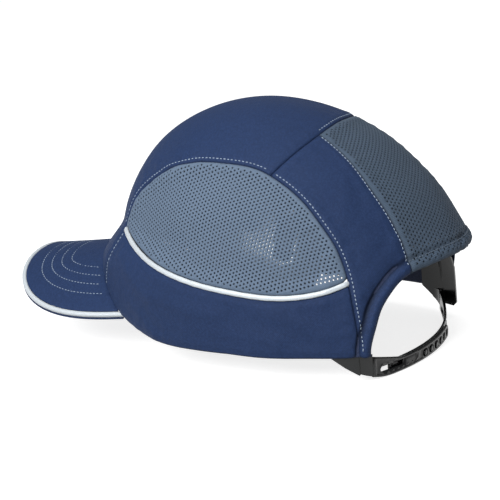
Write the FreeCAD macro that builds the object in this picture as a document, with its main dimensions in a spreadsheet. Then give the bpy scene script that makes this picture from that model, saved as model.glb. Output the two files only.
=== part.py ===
import FreeCAD, Part
import Sketcher
import math
import os

from FreeCAD import Matrix, Placement, Rotation, Vector

# Bump cap: a short-brimmed fabric cap over a removable impact shell.
# Frame: +X is the wearer's left, -Y is the front, +Z is up. Millimetres.
# The origin is the middle of the head opening, on the plane of the side hems.

DIMENSIONS = [
    # outer fabric surface: a sheared dome, longer than it is wide
    ("half_length", 108.0), ("half_width", 88.0), ("crown_height", 126.0),
    ("dome_power", 2.4), ("forward_lean", 0.18),
    ("front_flare", 10.0), ("front_square", 0.45), ("flare_top", 60.0), ("flare_full", 36.0),
    # layers, as depths under the outer fabric surface
    ("fabric_thick", 1.2), ("piping_proud", 1.0), ("piping_width", 2.8), ("seam_gap", 0.3),
    ("tape_top", 1.5), ("tape_bottom", 2.1), ("shell_top", 2.6), ("shell_bottom", 5.1),
    ("pad_top", 5.4), ("pad_bottom", 10.4), ("crown_pad_bottom", 12.4), ("sweat_bottom", 8.4),
    # brim
    ("brim_half_width", 65.0), ("brim_root", 86.0), ("brim_reach", 89.0), ("brim_power", 3.0),
    ("brim_crest", 38.4), ("brim_arch", 72.0), ("brim_slope", 0.103), ("brim_datum", 110.0),
    ("cover_thick", 0.6), ("board_thick", 1.8), ("brim_gap", 0.3), ("brim_piping", 2.8),
    # hem and rear opening
    ("hem_tape_height", 14.0), ("binding_width", 10.0),
    # impact shell and liner
    ("shell_hem", 14.0), ("shell_rear_hem", 52.0), ("sweat_height", 24.0), ("vent_width", 8.0),
    ("vent_length", 26.0),
    # rear strap: two bands that lap, each turning on a pivot at the end of its base
    ("strap_thick", 1.6), ("strap_width", 15.0), ("strap_round", 144.0), ("strap_middle", 76.0),
    ("strap_lap_gap", 0.4), ("strap_wall_depth", 3.4), ("strap_turn", 50.0), ("pivot_gap", 0.4),
    ("slot_width", 3.0), ("slot_length", 34.0), ("slot_level", 10.2), ("hole_level", 11.4),
    ("hole_width", 4.0), ("hole_length", 6.0), ("peg_pitch", 8.0), ("peg_dia", 3.2),
    ("peg_length", 2.6), ("tip_round", 3.0), ("left_tip", 27.0), ("right_tip", 50.0),
]

doc = FreeCAD.newDocument("bump_cap")
sheet = doc.addObject("Spreadsheet::Sheet", "Dims")
for row, (alias, value) in enumerate(DIMENSIONS, start=1):
    sheet.set("A%d" % row, alias)
    sheet.set("B%d" % row, str(value))
    sheet.setAlias("B%d" % row, alias)
doc.recompute()


def dim(alias):
    return float(getattr(sheet, alias))


PARTS = []


def register(obj, name):
    obj.Label = name
    PARTS.append(obj)
    return obj


def feature(name, shape):
    """A sub-part whose shape is worked out from the sheet in this file."""
    obj = doc.addObject("Part::Feature", name)
    obj.Shape = shape
    obj.Placement = Placement(Vector(0, 0, 0), Rotation())
    return register(obj, name)


# ---------------------------------------------------------------- the dome

SECTION_POINTS = 36
SECTION_HEIGHTS = (-6, 0, 10, 20, 28, 36, 42, 48, 54, 60, 68, 76, 84, 92, 100, 107, 113, 118, 122, 124.6)


def smooth_step(value):
    value = min(max(value, 0.0), 1.0)
    return value * value * (3 - 2 * value)


def dome_point(angle, height, depth):
    """Point of the surface that lies `depth` under the outer fabric. Angle 0 is +X, 90 the rear."""
    full_height = dim("crown_height") - depth
    share = max(height, 0.0) / full_height
    radius = math.sqrt(max(0.0, 1 - share ** dim("dome_power")))
    across, along = math.cos(angle), math.sin(angle)
    half_length, square = dim("half_length") - depth, 2.0
    if along < 0:
        flare = smooth_step((dim("flare_top") - height) / (dim("flare_top") - dim("flare_full")))
        half_length += dim("front_flare") * flare * along * along
        square += dim("front_square") * flare
    reach = (abs(across) ** square + abs(along) ** square) ** (-1 / square)
    return Vector((dim("half_width") - depth) * radius * reach * across,
                  half_length * radius * reach * along - dim("forward_lean") * height, height)


def closed_spline(points):
    curve = Part.BSplineCurve()
    curve.interpolate(points, PeriodicFlag=True)
    return Part.Wire(curve.toShape())


def dome(depth, floor=0.0):
    """Solid inside the surface at a depth. `floor` lowers its open end."""
    scale = (dim("crown_height") - depth) / dim("crown_height")
    wires = []
    for height in SECTION_HEIGHTS:
        level = height * scale if height > 0 else height
        if height < 0:
            level -= floor
        ring = [dome_point(2 * math.pi * i / SECTION_POINTS, level, depth)
                for i in range(SECTION_POINTS)]
        wires.append(closed_spline(ring))
    return Part.makeLoft(wires, True, False)


def layer(top, bottom):
    return dome(top).cut(dome(bottom, 4.0))


# ---------------------------------------------------------------- seam cutters

def side_view(y, z):
    return Vector(0, y, z)


def rear_view(x, z):
    return Vector(x, 0, z)


def plan_view(x, y):
    return Vector(x, y, 0)


def spline(points):
    curve = Part.BSplineCurve()
    curve.interpolate(points)
    return curve.toShape()


def shifted(points, distance):
    """The 2-D points moved sideways by a distance, to the left of their direction."""
    moved = []
    for i, (u, v) in enumerate(points):
        before, after = points[max(i - 1, 0)], points[min(i + 1, len(points) - 1)]
        du, dv = after[0] - before[0], after[1] - before[1]
        size = math.hypot(du, dv)
        moved.append((u - dv / size * distance, v + du / size * distance))
    return moved


def strip(points, width, view, start, sweep, swing=0.0):
    """Prism over a strip of the given width along a curve drawn in one view."""
    left = [view(*p) for p in shifted(points, width / 2 + swing)]
    right = [view(*p) for p in shifted(points, -width / 2 + swing)]
    wire = Part.Wire([spline(left), Part.makeLine(left[-1], right[-1]),
                      spline(right[::-1]), Part.makeLine(right[0], left[0])])
    face = Part.Face(wire)
    face.translate(start)
    return face.extrude(sweep)


def prism(edges, start, sweep):
    face = Part.Face(Part.Wire(edges))
    face.translate(start)
    return face.extrude(sweep)


def polygon(points, view, start, sweep):
    corners = [view(*p) for p in points]
    return prism([Part.makeLine(a, b) for a, b in zip(corners, corners[1:] + corners[:1])],
                 start, sweep)


# Seams, drawn in the view that each was laid out in.
FRONT_TIP = (-93.0, 57.5)
FRONT_SEAM = [(-109.0, 8.0), (-108.0, 22.0), (-102.5, 40.0), FRONT_TIP]
SIDE_SEAM = [FRONT_TIP, (-84.0, 77.0), (-66.0, 91.0), (-43.0, 99.0), (-22.0, 100.0), (-4.0, 97.5),
             (10.0, 91.5), (23.0, 82.5), (35.0, 70.0), (44.0, 58.0), (50.0, 45.0), (54.0, 28.0),
             (57.0, 12.0), (58.0, -8.0)]
PIPING_LINE = [FRONT_TIP, (-81.0, 52.0), (-62.0, 45.0), (-36.0, 38.5), (-11.0, 35.0), (14.0, 33.0),
               (30.0, 34.0), (42.0, 36.5), (52.5, 40.5)]
CROSS_HALF = 66.0
CROSS_ROUND = 96.0
CROSS_MIDDLE = 25.0
QUARTER_SEAM = [(24.0, 124.0), (27.5, 113.0), (34.0, 99.0), (39.0, 85.0), (42.0, 70.0),
                (44.5, 56.0), (47.5, 38.0)]
OPENING = [(70.8, -20.0), (70.8, 3.0), (68.0, 15.0), (64.0, 25.5), (58.0, 33.5), (52.5, 38.5),
           (46.5, 41.5), (36.0, 43.5), (24.0, 44.7), (12.0, 45.0), (0.0, 45.0)]

FAR = 140.0


def cross_seam_points():
    """Arc over the crown, in plan, from one side seam to the other."""
    centre = CROSS_MIDDLE - CROSS_ROUND
    limit = math.asin(CROSS_HALF / CROSS_ROUND)
    turns = [limit * (1 - i / 6) for i in range(13)]
    return [(CROSS_ROUND * math.sin(t), centre + CROSS_ROUND * math.cos(t)) for t in turns]


def opening_cutter(outset=0.0):
    """Everything under the arch of the rear opening, which is `outset` larger all round."""
    half = [(x, z) for x, z in shifted(OPENING, -outset) if x > 20.0]
    half.append((0.0, OPENING[-1][1] + outset))
    arch = half + [(-x, z) for x, z in half[-2::-1]]
    top = spline([rear_view(x, z) for x, z in arch[1:-1]])
    foot = [rear_view(*arch[1]), rear_view(*arch[0]), rear_view(*arch[-1]), rear_view(*arch[-2])]
    lines = [Part.makeLine(a, b) for a, b in zip(foot, foot[1:])]
    return prism([top] + lines, Vector(0, 10, 0), Vector(0, FAR, 0))


def arch_height(x):
    return dim("brim_crest") - x * x / (2 * dim("brim_arch"))


def arch_prism(top_drop, bottom_drop, half=95.0):
    """Slab between two copies of the brim's arch, running along the brim's slope."""
    steps = [half * (i / 6 - 1) for i in range(13)]
    upper = [rear_view(x, arch_height(x) - top_drop) for x in steps]
    if bottom_drop is None:
        lower = [rear_view(half, -90.0), rear_view(-half, -90.0)]
        base = [Part.makeLine(*lower)]
    else:
        lower = [rear_view(x, arch_height(x) - bottom_drop) for x in steps[::-1]]
        base = [spline(lower)]
    edges = [spline(upper), Part.makeLine(upper[-1], lower[0])] + base
    edges.append(Part.makeLine(lower[-1], upper[0]))
    slope, datum = dim("brim_slope"), dim("brim_datum")
    first = Vector(0, -30, slope * (datum - 30))
    last = Vector(0, -200, slope * (datum - 200))
    return prism(edges, first, last - first)


def hem_cutter(lift=0.0):
    """What lies under the hem: the level side hem and the arch over the brim."""
    level = Part.makeBox(2 * FAR, 2 * FAR, 60, Vector(-FAR, -FAR, lift - 60))
    return level.fuse(arch_prism(-lift, None))


def nearest(solids, point):
    probe = Part.Vertex(point)
    return min(solids, key=lambda solid: solid.distToShape(probe)[0])


def mirrored(shape):
    return shape.mirror(Vector(0, 0, 0), Vector(1, 0, 0))


def both_sides(shape):
    return [shape, mirrored(shape)]


# ---------------------------------------------------------------- fabric shell of the cap

GAP = dim("seam_gap")
ACROSS = Vector(FAR, 0, 0)


def fabric_panels():
    cloth = layer(0.0, dim("fabric_thick"))
    cloth = cloth.cut(hem_cutter()).cut(opening_cutter())
    seam = strip(FRONT_SEAM[:-1] + SIDE_SEAM, GAP, side_view, Vector(4, 0, 0), ACROSS)
    piping = strip(PIPING_LINE, dim("piping_width") + 2 * GAP, side_view, Vector(4, 0, 0), ACROSS)
    solids = cloth.cut(both_sides(seam)).cut(both_sides(piping)).Solids
    centre = nearest(solids, Vector(0, -40, 120))
    named = {}
    for side, sign in (("left", 1), ("right", -1)):
        named["side_mesh_" + side] = nearest(solids, Vector(sign * 74, -10, 68))
        named["side_band_" + side] = nearest(solids, Vector(sign * 86, -10, 14))
    cross = strip(cross_seam_points(), GAP, plan_view, Vector(0, 0, 60), Vector(0, 0, 90))
    solids = centre.cut(cross).Solids
    named["crown_panel"] = nearest(solids, Vector(0, -40, 120))
    rear = nearest(solids, Vector(0, 80, 70))
    quarter = strip(QUARTER_SEAM, GAP, rear_view, Vector(0, 5, 0), Vector(0, FAR, 0))
    solids = rear.cut(both_sides(quarter)).Solids
    named["rear_mesh"] = nearest(solids, Vector(0, 85, 70))
    named["rear_quarter_left"] = nearest(solids, Vector(62, 55, 50))
    named["rear_quarter_right"] = nearest(solids, Vector(-62, 55, 50))
    return named


for panel, shape in fabric_panels().items():
    feature(panel, shape)


def piping_cord():
    bead = layer(-dim("piping_proud"), dim("fabric_thick"))
    line = strip(PIPING_LINE, dim("piping_width"), side_view, Vector(4, 0, 0), ACROSS)
    keep = Part.makeBox(FAR, 143.0, 80, Vector(4, -91.5, 0))
    return bead.common(line).common(keep)


PIPING = piping_cord()
feature("side_piping_left", PIPING)
feature("side_piping_right", mirrored(PIPING))


def tapes():
    """Inner tapes: round the hem, round the rear opening and under the side seams."""
    tape = layer(dim("tape_top"), dim("tape_bottom"))
    height = dim("hem_tape_height")
    behind = Part.makeBox(2 * FAR, FAR, 40, Vector(-FAR, 58, -20))
    hem = tape.cut(hem_cutter(0.4)).common(hem_cutter(height)).cut(opening_cutter(0.5)).cut(behind)
    binding = tape.common(opening_cutter(dim("binding_width"))).cut(opening_cutter(0.5))
    above = Part.makeBox(2 * FAR, FAR, 90, Vector(-FAR, 30, height + GAP))
    binding = binding.common(above)
    seam = strip(SIDE_SEAM[1:-3], 9.0, side_view, Vector(4, 0, 0), ACROSS)
    return hem, nearest(binding.Solids, Vector(0, 95, 50)), tape.common(seam)


HEM_TAPE, BINDING, SEAM_TAPE = tapes()
feature("hem_tape", HEM_TAPE)
feature("opening_binding", BINDING)
feature("seam_tape_left", SEAM_TAPE)
feature("seam_tape_right", mirrored(SEAM_TAPE))


# ---------------------------------------------------------------- brim

def brim_outline(inset):
    """The brim's plan outline, a rounded D, as a tall prism."""
    half, reach = dim("brim_half_width") - inset, dim("brim_reach") - inset
    power = 2 / dim("brim_power")
    steps = [math.pi * i / 24 for i in range(25)]
    curve = []
    for turn in steps:
        across = math.cos(turn)
        curve.append(plan_view(math.copysign(half * abs(across) ** power, across),
                               -dim("brim_root") - reach * math.sin(turn) ** power))
    back = [plan_view(-half, -40), plan_view(half, -40)]
    edges = [spline(curve), Part.makeLine(curve[-1], back[0]), Part.makeLine(*back),
             Part.makeLine(back[1], curve[0])]
    return prism(edges, Vector(0, 0, -20), Vector(0, 0, 90))


def brim_pieces():
    thin, gap = dim("cover_thick"), dim("brim_gap")
    board_top = thin + gap
    under_top = board_top + dim("board_thick") + gap
    total = under_top + thin
    cap = dome(-0.4)
    field = brim_outline(dim("brim_piping") + gap).cut(cap)
    rim = brim_outline(0.0).cut(brim_outline(dim("brim_piping"))).cut(cap)
    return {"brim_top_cover": field.common(arch_prism(0.0, thin)),
            "brim_board": field.common(arch_prism(board_top, board_top + dim("board_thick"))),
            "brim_under_cover": field.common(arch_prism(under_top, total)),
            "brim_piping": rim.common(arch_prism(-0.2, total + 0.2))}


for piece, shape in brim_pieces().items():
    feature(piece, nearest(shape.Solids, Vector(0, -150, 34)))


# ---------------------------------------------------------------- impact shell and liner

def obround(centre_u, centre_v, width, length, view, start, sweep):
    """Slot whose long side is along the view's second axis."""
    radius, straight = width / 2, (length - width) / 2
    corner = [(centre_u - radius, centre_v - straight), (centre_u - radius, centre_v + straight),
              (centre_u + radius, centre_v + straight), (centre_u + radius, centre_v - straight)]
    a, b, c, d = [view(*p) for p in corner]
    top = view(centre_u, centre_v + straight + radius)
    bottom = view(centre_u, centre_v - straight - radius)
    edges = [Part.makeLine(a, b), Part.Arc(b, top, c).toShape(), Part.makeLine(c, d),
             Part.Arc(d, bottom, a).toShape()]
    return prism(edges, start, sweep)


def shell_limits(lift):
    """What the liner keeps clear of: the hem, the rear corners and the rear opening."""
    rear = [(22.0, 0.0), (26.0, lift + 4), (43.0, dim("shell_rear_hem")), (FAR, 56.0), (FAR, 0.0)]
    return hem_cutter(lift).fuse(polygon(rear, side_view, Vector(-FAR, 0, 0), ACROSS * 2))


def impact_shell():
    shell = layer(dim("shell_top"), dim("shell_bottom")).cut(shell_limits(dim("shell_hem")))
    wide, tall = dim("vent_width"), dim("vent_length")
    vents = [obround(y, 66.0, wide, tall, side_view, Vector(-FAR, 0, 0), ACROSS * 2)
             for y in (-58.0, -40.0, 18.0, 34.0)]
    vents += [obround(x, -12.0, wide, tall * 1.6, plan_view, Vector(0, 0, 90), Vector(0, 0, 60))
              for x in (-47.0, 47.0)]
    return shell.cut(vents)


def pad(bottom, tool):
    return layer(dim("pad_top"), dim(bottom)).common(tool)


def sweatband():
    lift = dim("shell_hem") + 1.0
    band = layer(dim("pad_top"), dim("sweat_bottom")).cut(hem_cutter(lift))
    front = Part.makeBox(2 * FAR, FAR + 24, 150, Vector(-FAR, -FAR, 0))
    return band.common(hem_cutter(lift + dim("sweat_height"))).common(front)


feature("impact_shell", impact_shell())
feature("sweatband", sweatband())
SIDE_PAD = pad("pad_bottom", Part.makeBox(FAR, 44, 36, Vector(0, -28, 44)))
feature("pad_left", SIDE_PAD)
feature("pad_right", mirrored(SIDE_PAD))
feature("pad_front", pad("pad_bottom", Part.makeBox(76, 100, 22, Vector(-38, -FAR, 82))))
feature("pad_rear", pad("pad_bottom", Part.makeBox(76, 100, 34, Vector(-38, 40, 60))))
feature("pad_crown", pad("crown_pad_bottom",
                         obround(0, -12.0, 62.0, 92.0, plan_view, Vector(0, 0, 80),
                                 Vector(0, 0, 60))))


# ---------------------------------------------------------------- rear strap

def wall_point(y, depth):
    """Point of the inner wall at hem level, and its outward direction."""
    long_axis, wide_axis = dim("half_length") - depth, dim("half_width") - depth
    x = wide_axis * math.sqrt(1 - (y / long_axis) ** 2)
    normal = Vector(x / wide_axis ** 2, y / long_axis ** 2, 0)
    return Vector(x, y, 0), normal.normalize()


def strap_turn(radius):
    """The corner arc from the wall to the arc across the back: its start, middle and end."""
    centre = Vector(0, dim("strap_middle") - dim("strap_round"), 0)
    start, normal = wall_point(dim("strap_turn"), dim("strap_wall_depth"))
    arm = start - centre
    corner = (arm.dot(arm) - radius ** 2) / (2 * (arm.dot(normal) - radius))
    hub = start - normal * corner
    end = centre + (hub - centre).normalize() * radius
    middle = hub + ((start - hub) + (end - hub)).normalize() * corner
    return start, middle, end, centre


# Edges of the strap: of its bases in the side view, and of its left band in the rear view.
BASE_PLATES = {
    "left": [(42.0, 0.0), (42.0, 26.0), (44.0, 28.0), (51.0, 28.0), (56.0, 6.0), (57.0, -10.0),
             (50.0, -10.0)],
    "right": [(42.0, 0.0), (42.0, 26.0), (44.0, 28.0), (58.0, 29.0), (65.0, 25.0), (67.5, 16.0),
              (67.5, -6.0), (65.0, -8.5), (50.0, -8.5)]}
UNDER_BASE = [(30.0, -30.0), (30.0, 8.0), (42.0, 0.5), (50.0, -5.6), (56.0, -9.4), (62.0, -12.8),
              (72.0, -13.0), (72.0, -30.0)]
OVER_BAND = [(80.0, 6.0), (80.0, -0.6), (68.0, -0.8), (54.0, -4.4), (40.0, -7.8), (-80.0, -7.8),
             (-80.0, 6.0)]
UNDER_BAND = [(80.0, -30.0), (80.0, -9.0), (68.0, -11.8), (61.0, -14.0), (54.0, -15.0),
              (54.0, -30.0)]


def strap_base(side, radius):
    """Fixed end of the strap: a plate on the inner wall of the rear corner, and a short neck."""
    start, middle, end, centre = strap_turn(radius)
    half, low = dim("strap_thick") / 2, -dim("strap_width")
    outside, inside = dim("strap_wall_depth") - half, dim("strap_wall_depth") + half
    wall = dome(outside, 14.0).cut(dome(inside, 18.0))
    plate = wall.common(polygon(BASE_PLATES[side], side_view, Vector(20, 0, 0), ACROSS))
    neck_line = [(p.x, p.y) for p in (start, middle, end)]
    neck = strip(neck_line, dim("strap_thick"), plan_view, Vector(0, 0, low), Vector(0, 0, -low))
    socket = Part.makeCylinder(half + dim("pivot_gap"), 40, end - Vector(0, 0, 20))
    below = polygon(UNDER_BASE, side_view, Vector(20, 0, 0), ACROSS)
    base = plate.fuse(neck).cut(below).cut(socket)
    return nearest(base.Solids, start)


def strap_band(side, radius, tip):
    """Swinging band: a PartDesign body of a curved pad, with the angles of its two ends."""
    name = "strap_band_" + side
    sign = 1 if side == "left" else -1
    half = dim("strap_thick") / 2
    end, centre = strap_turn(radius)[2:]
    root = math.atan2(end.y - centre.y, end.x)
    last = math.pi / 2 + math.asin(tip / radius)
    body = doc.addObject("PartDesign::Body", name + "_body")
    plane = next(f for f in body.Origin.OriginFeatures if f.Role == "XY_Plane")
    sketch = body.newObject("Sketcher::SketchObject", name + "_plan")
    sketch.AttachmentSupport = [(plane, "")]
    sketch.MapMode = "FlatFace"
    sketch.AttachmentOffset = Placement(Vector(0, 0, -dim("strap_width")), Rotation())

    def at(angle, reach):
        return Vector(sign * reach * math.cos(angle), centre.y + reach * math.sin(angle), 0)

    def sweep(reach):
        circle = Part.Circle(Vector(0, centre.y, 0), Vector(0, 0, 1), reach)
        first, second = (root, last) if sign > 0 else (math.pi - last, math.pi - root)
        return Part.ArcOfCircle(circle, first, second)

    outer = sketch.addGeometry(sweep(radius + half), False)
    inner = sketch.addGeometry(sweep(radius - half), False)
    for angle in (root, last):
        sketch.addGeometry(Part.LineSegment(at(angle, radius + half), at(angle, radius - half)),
                           False)
    middle_of = "Dims.strap_round"
    if side == "right":
        middle_of += " - Dims.strap_thick - Dims.strap_lap_gap"
    for arc, text in ((outer, " + Dims.strap_thick / 2"), (inner, " - Dims.strap_thick / 2")):
        number = sketch.addConstraint(Sketcher.Constraint("Radius", arc, sketch.Geometry[arc].Radius))
        sketch.setExpression("Constraints[%d]" % number, middle_of + text)
    pad_feature = body.newObject("PartDesign::Pad", name + "_pad")
    pad_feature.Profile = sketch
    pad_feature.setExpression("Length", "Dims.strap_width")
    doc.recompute()
    return body, at, root, last


def strap_cutter(at, radius, angle, half_turn, width, level):
    """Round-ended slot through the band, which is a hole when it is short."""
    depth = 6.0
    tools = []
    for turn in (angle - half_turn, angle + half_turn):
        foot, head = at(turn, radius - depth), at(turn, radius + depth)
        foot.z = head.z = -level
        tools.append(Part.makeCylinder(width / 2, 2 * depth, foot, head - foot))
    a, b = at(angle - half_turn, radius - depth), at(angle - half_turn, radius + depth)
    c, d = at(angle + half_turn, radius + depth), at(angle + half_turn, radius - depth)
    for corner in (a, b, c, d):
        corner.z = -level - width / 2
    block = prism([Part.makeLine(a, b), Part.makeLine(b, c), Part.makeLine(c, d),
                   Part.makeLine(d, a)], Vector(0, 0, 0), Vector(0, 0, width))
    return block.fuse(tools)


def snap_angles(radius):
    """Where the pegs stand: six places, evenly spaced, about the middle of the lap."""
    middle = math.pi / 2 + 0.012
    step = dim("peg_pitch") / radius
    return [middle + step * (i - 2.5) for i in range(6)]


def band_edges(sign, tip):
    """What lies over and under a band, and past its rounded tip."""
    tools = [polygon([(sign * x, z) for x, z in edge], rear_view, Vector(0, 20, 0), Vector(0, FAR, 0))
             for edge in (OVER_BAND, UNDER_BAND)]
    corner, low, high = dim("tip_round"), -dim("strap_width"), OVER_BAND[-2][1]
    end = Part.makeBox(corner, FAR, 40, Vector(-tip, 20, -30))
    keep = Part.makeBox(corner, FAR, high - low - 2 * corner, Vector(-tip, 20, low + corner))
    rounds = [Part.makeCylinder(corner, FAR, Vector(corner - tip, 20, z), Vector(0, 1, 0))
              for z in (low + corner, high - corner)]
    end = end.cut(keep).cut(rounds[0]).cut(rounds[1])
    if sign < 0:
        end = mirrored(end)
    return tools + end.Solids


def build_strap(side, radius, tip):
    body, at, root, last = strap_band(side, radius, tip)
    sign = 1 if side == "left" else -1
    half = dim("strap_thick") / 2
    slot = dim("slot_length") / radius
    cutters = [strap_cutter(at, radius, root + (slot / 2 + 5.0 / radius), slot / 2 - 1.5 / radius,
                            dim("slot_width"), dim("slot_level"))]
    if side == "left":
        spare = (dim("hole_length") - dim("hole_width")) / 2 / radius
        cutters += [strap_cutter(at, radius, angle, spare, dim("hole_width"), dim("hole_level"))
                    for angle in snap_angles(radius)]
    pivot = doc.addObject("Part::Feature", "strap_pivot_" + side)
    pivot.Shape = Part.makeCylinder(half, dim("strap_width"), at(root, radius)
                                    - Vector(0, 0, dim("strap_width")))
    blank = doc.addObject("Part::Fuse", "strap_blank_" + side)
    blank.Base, blank.Tool = body, pivot
    doc.recompute()
    shape = blank.Shape
    for tool in band_edges(sign, tip) + cutters:
        shape = shape.cut(tool)
    band = doc.addObject("Part::Feature", "strap_cut_" + side)
    band.Shape = nearest(shape.Solids, at((root + last) / 2, radius))
    if side == "left":
        return register(band, "strap_band_left")
    pegs = []
    for number, angle in enumerate(snap_angles(radius), start=1):
        foot = at(math.pi - angle, radius)
        foot.z = -dim("hole_level")
        out = at(math.pi - angle, radius + 1) - at(math.pi - angle, radius)
        peg = doc.addObject("Part::Cone", "strap_peg_%d" % number)
        peg.setExpression("Radius1", "Dims.peg_dia / 2")
        peg.setExpression("Radius2", "Dims.peg_dia / 2 - 0.4")
        peg.setExpression("Height", "Dims.strap_thick / 2 + Dims.peg_length")
        peg.Placement = Placement(foot, Rotation(Vector(0, 0, 1), out))
        pegs.append(peg)
    fuse = doc.addObject("Part::MultiFuse", "strap_with_pegs")
    fuse.Shapes = [band] + pegs
    return register(fuse, "strap_band_right")


OUTER_ROUND = dim("strap_round")
INNER_ROUND = OUTER_ROUND - dim("strap_thick") - dim("strap_lap_gap")
feature("strap_base_left", strap_base("left", OUTER_ROUND))
feature("strap_base_right", mirrored(strap_base("right", INNER_ROUND)))
build_strap("left", OUTER_ROUND, dim("left_tip"))
build_strap("right", INNER_ROUND, dim("right_tip"))

# ---------------------------------------------------------------- checks and export

doc.recompute()
for obj in doc.Objects:
    if "Invalid" in obj.State or "Error" in obj.State:
        raise RuntimeError("%s failed: %s" % (obj.Name, obj.State))
os.makedirs("parts", exist_ok=True)
for obj in PARTS:
    if obj.Shape.isNull() or not obj.Shape.isValid():
        raise RuntimeError("%s has no valid shape" % obj.Label)
for obj in PARTS:
    obj.Shape.exportStep("parts/%s.step" % obj.Label)
    box = obj.Shape.BoundBox
    print("%-20s solids %d volume %8.0f  x %6.1f %6.1f  y %6.1f %6.1f  z %6.1f %6.1f" % (
        obj.Label, len(obj.Shape.Solids), obj.Shape.Volume, box.XMin, box.XMax, box.YMin, box.YMax,
        box.ZMin, box.ZMax))
print("strap pivots", [strap_turn(radius)[2] for radius in (OUTER_ROUND, INNER_ROUND)])
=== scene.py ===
import math
from collections import namedtuple

import bpy
import numpy as np
from mathutils import Matrix, Vector
from mathutils.geometry import delaunay_2d_cdt


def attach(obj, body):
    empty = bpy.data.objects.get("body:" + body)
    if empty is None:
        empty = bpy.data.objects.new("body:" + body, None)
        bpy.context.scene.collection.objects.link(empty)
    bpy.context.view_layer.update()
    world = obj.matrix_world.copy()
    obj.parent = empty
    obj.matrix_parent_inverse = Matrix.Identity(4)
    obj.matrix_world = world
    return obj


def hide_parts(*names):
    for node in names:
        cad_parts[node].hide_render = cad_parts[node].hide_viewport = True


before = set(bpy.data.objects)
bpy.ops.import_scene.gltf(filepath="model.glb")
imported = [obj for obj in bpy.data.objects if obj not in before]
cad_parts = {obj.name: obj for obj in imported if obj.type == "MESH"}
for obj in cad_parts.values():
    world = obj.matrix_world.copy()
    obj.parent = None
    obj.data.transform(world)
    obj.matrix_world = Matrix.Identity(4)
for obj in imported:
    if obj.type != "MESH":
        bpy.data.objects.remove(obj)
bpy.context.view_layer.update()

# Lengths in this script are millimetres, and MM turns them into the frame's metres.
# +X is the wearer's left, -Y the front and +Z up, as in the frame.
MM = 0.001
rng = np.random.default_rng(7)

# ---------------------------------------------------------------- the dome

HALF_LENGTH, HALF_WIDTH, CROWN_HEIGHT = 108.0, 88.0, 126.0
DOME_POWER, LEAN = 2.4, 0.18
FLARE, SQUARE, FLARE_TOP, FLARE_FULL = 10.0, 0.45, 60.0, 36.0
HUB = np.array([0.0, -10.0, 32.0])


def smooth_step(value):
    value = np.clip(value, 0.0, 1.0)
    return value * value * (3 - 2 * value)


def bell(value, wide):
    """1 where the value is 0, falling smoothly to nothing on both sides."""
    return np.exp(-(value / wide) ** 2)


def unit(rows):
    return rows / np.linalg.norm(rows, axis=1, keepdims=True)


def front_flare(forward, height):
    """How much of the front's flare and squareness applies, from 0 to 1."""
    rise = smooth_step((FLARE_TOP - height) / (FLARE_TOP - FLARE_FULL))
    return np.where(forward < 0, rise, 0)


def square_reach(angle, flare):
    """How far a squared circle reaches at an angle, against a round one."""
    power = 2 + SQUARE * flare
    return (np.abs(np.cos(angle)) ** power + np.abs(np.sin(angle)) ** power) ** (-1 / power)


def dome_point(angle, height, depth=0.0):
    """Points at a depth under the outer cloth. Angle 0 is +X, 90 degrees the rear."""
    angle, height, depth = np.broadcast_arrays(np.float64(angle), height, depth)
    share = np.maximum(height, 0) / (CROWN_HEIGHT - depth)
    radius = np.sqrt(np.maximum(0, 1 - share ** DOME_POWER))
    across, along = np.cos(angle), np.sin(angle)
    flare = front_flare(along, height)
    length = HALF_LENGTH - depth + FLARE * flare * along ** 2
    reach = square_reach(angle, flare)
    return np.stack([(HALF_WIDTH - depth) * radius * reach * across,
                     length * radius * reach * along - LEAN * height, height], axis=-1)


def dome_angle(points, depth=0.0):
    """The angle that dome_point takes for points on its surface."""
    x, y, z = np.moveaxis(np.atleast_2d(points), -1, 0)
    lean_y = y + LEAN * z
    flare = front_flare(lean_y, z)
    angle = np.arctan2(lean_y / (HALF_LENGTH - depth), x / (HALF_WIDTH - depth))
    for _ in range(4):
        length = HALF_LENGTH - depth + FLARE * flare * np.sin(angle) ** 2
        angle = np.arctan2(lean_y / length, x / (HALF_WIDTH - depth))
    return angle, length, flare


def outside(points, depth=0.0):
    """Below 0 inside the surface at a depth, above 0 outside it."""
    x, y, z = np.moveaxis(points, -1, 0)
    angle, length, flare = dome_angle(points, depth)
    reach = square_reach(angle, flare)
    size = np.hypot(x / (HALF_WIDTH - depth), (y + LEAN * z) / length) / reach
    return size ** 2 + (np.maximum(z, 0) / (CROWN_HEIGHT - depth)) ** DOME_POWER - 1


def cast(starts, directions, depth=0.0, near=0.0, far=230.0):
    """Where rays from inside the dome leave the surface at a depth."""
    low = np.full(len(directions), near)
    high = np.full(len(directions), far)
    for _ in range(34):
        middle = (low + high) / 2
        out = outside(starts + directions * middle[:, None], depth) > 0
        high = np.where(out, middle, high)
        low = np.where(out, low, middle)
    return starts + directions * high[:, None]


def dome_normal(points):
    steps = 0.05 * np.eye(3)
    return unit(np.stack([outside(points + s) - outside(points - s) for s in steps], axis=-1))


def drawn_on(flat, depth_axis, start, sign):
    """A line drawn in a view, carried along the view's axis onto the dome."""
    starts = np.insert(np.atleast_2d(flat), depth_axis, start, axis=1)
    direction = sign * np.eye(3)[depth_axis]
    return cast(starts, np.tile(direction, (len(starts), 1)))


def from_side(yz, sign=1.0):
    return drawn_on(yz, 0, 0.0, sign)


def from_above(xy):
    return drawn_on(xy, 2, 20.0, 1.0)


def from_behind(xz):
    return drawn_on(xz, 1, 0.0, 1.0)


def from_front(xz):
    return drawn_on(xz, 1, -10.0, -1.0)


# ---------------------------------------------------------------- curves

def lengths(points):
    """How far along a line each of its points is."""
    return np.concatenate([[0], np.cumsum(np.linalg.norm(np.diff(points, axis=0), axis=1))])


def at_lengths(at, length, points):
    """Values between a line's points, at distances along it."""
    return np.stack([np.interp(at, length, column) for column in points.T], axis=1)


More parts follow.
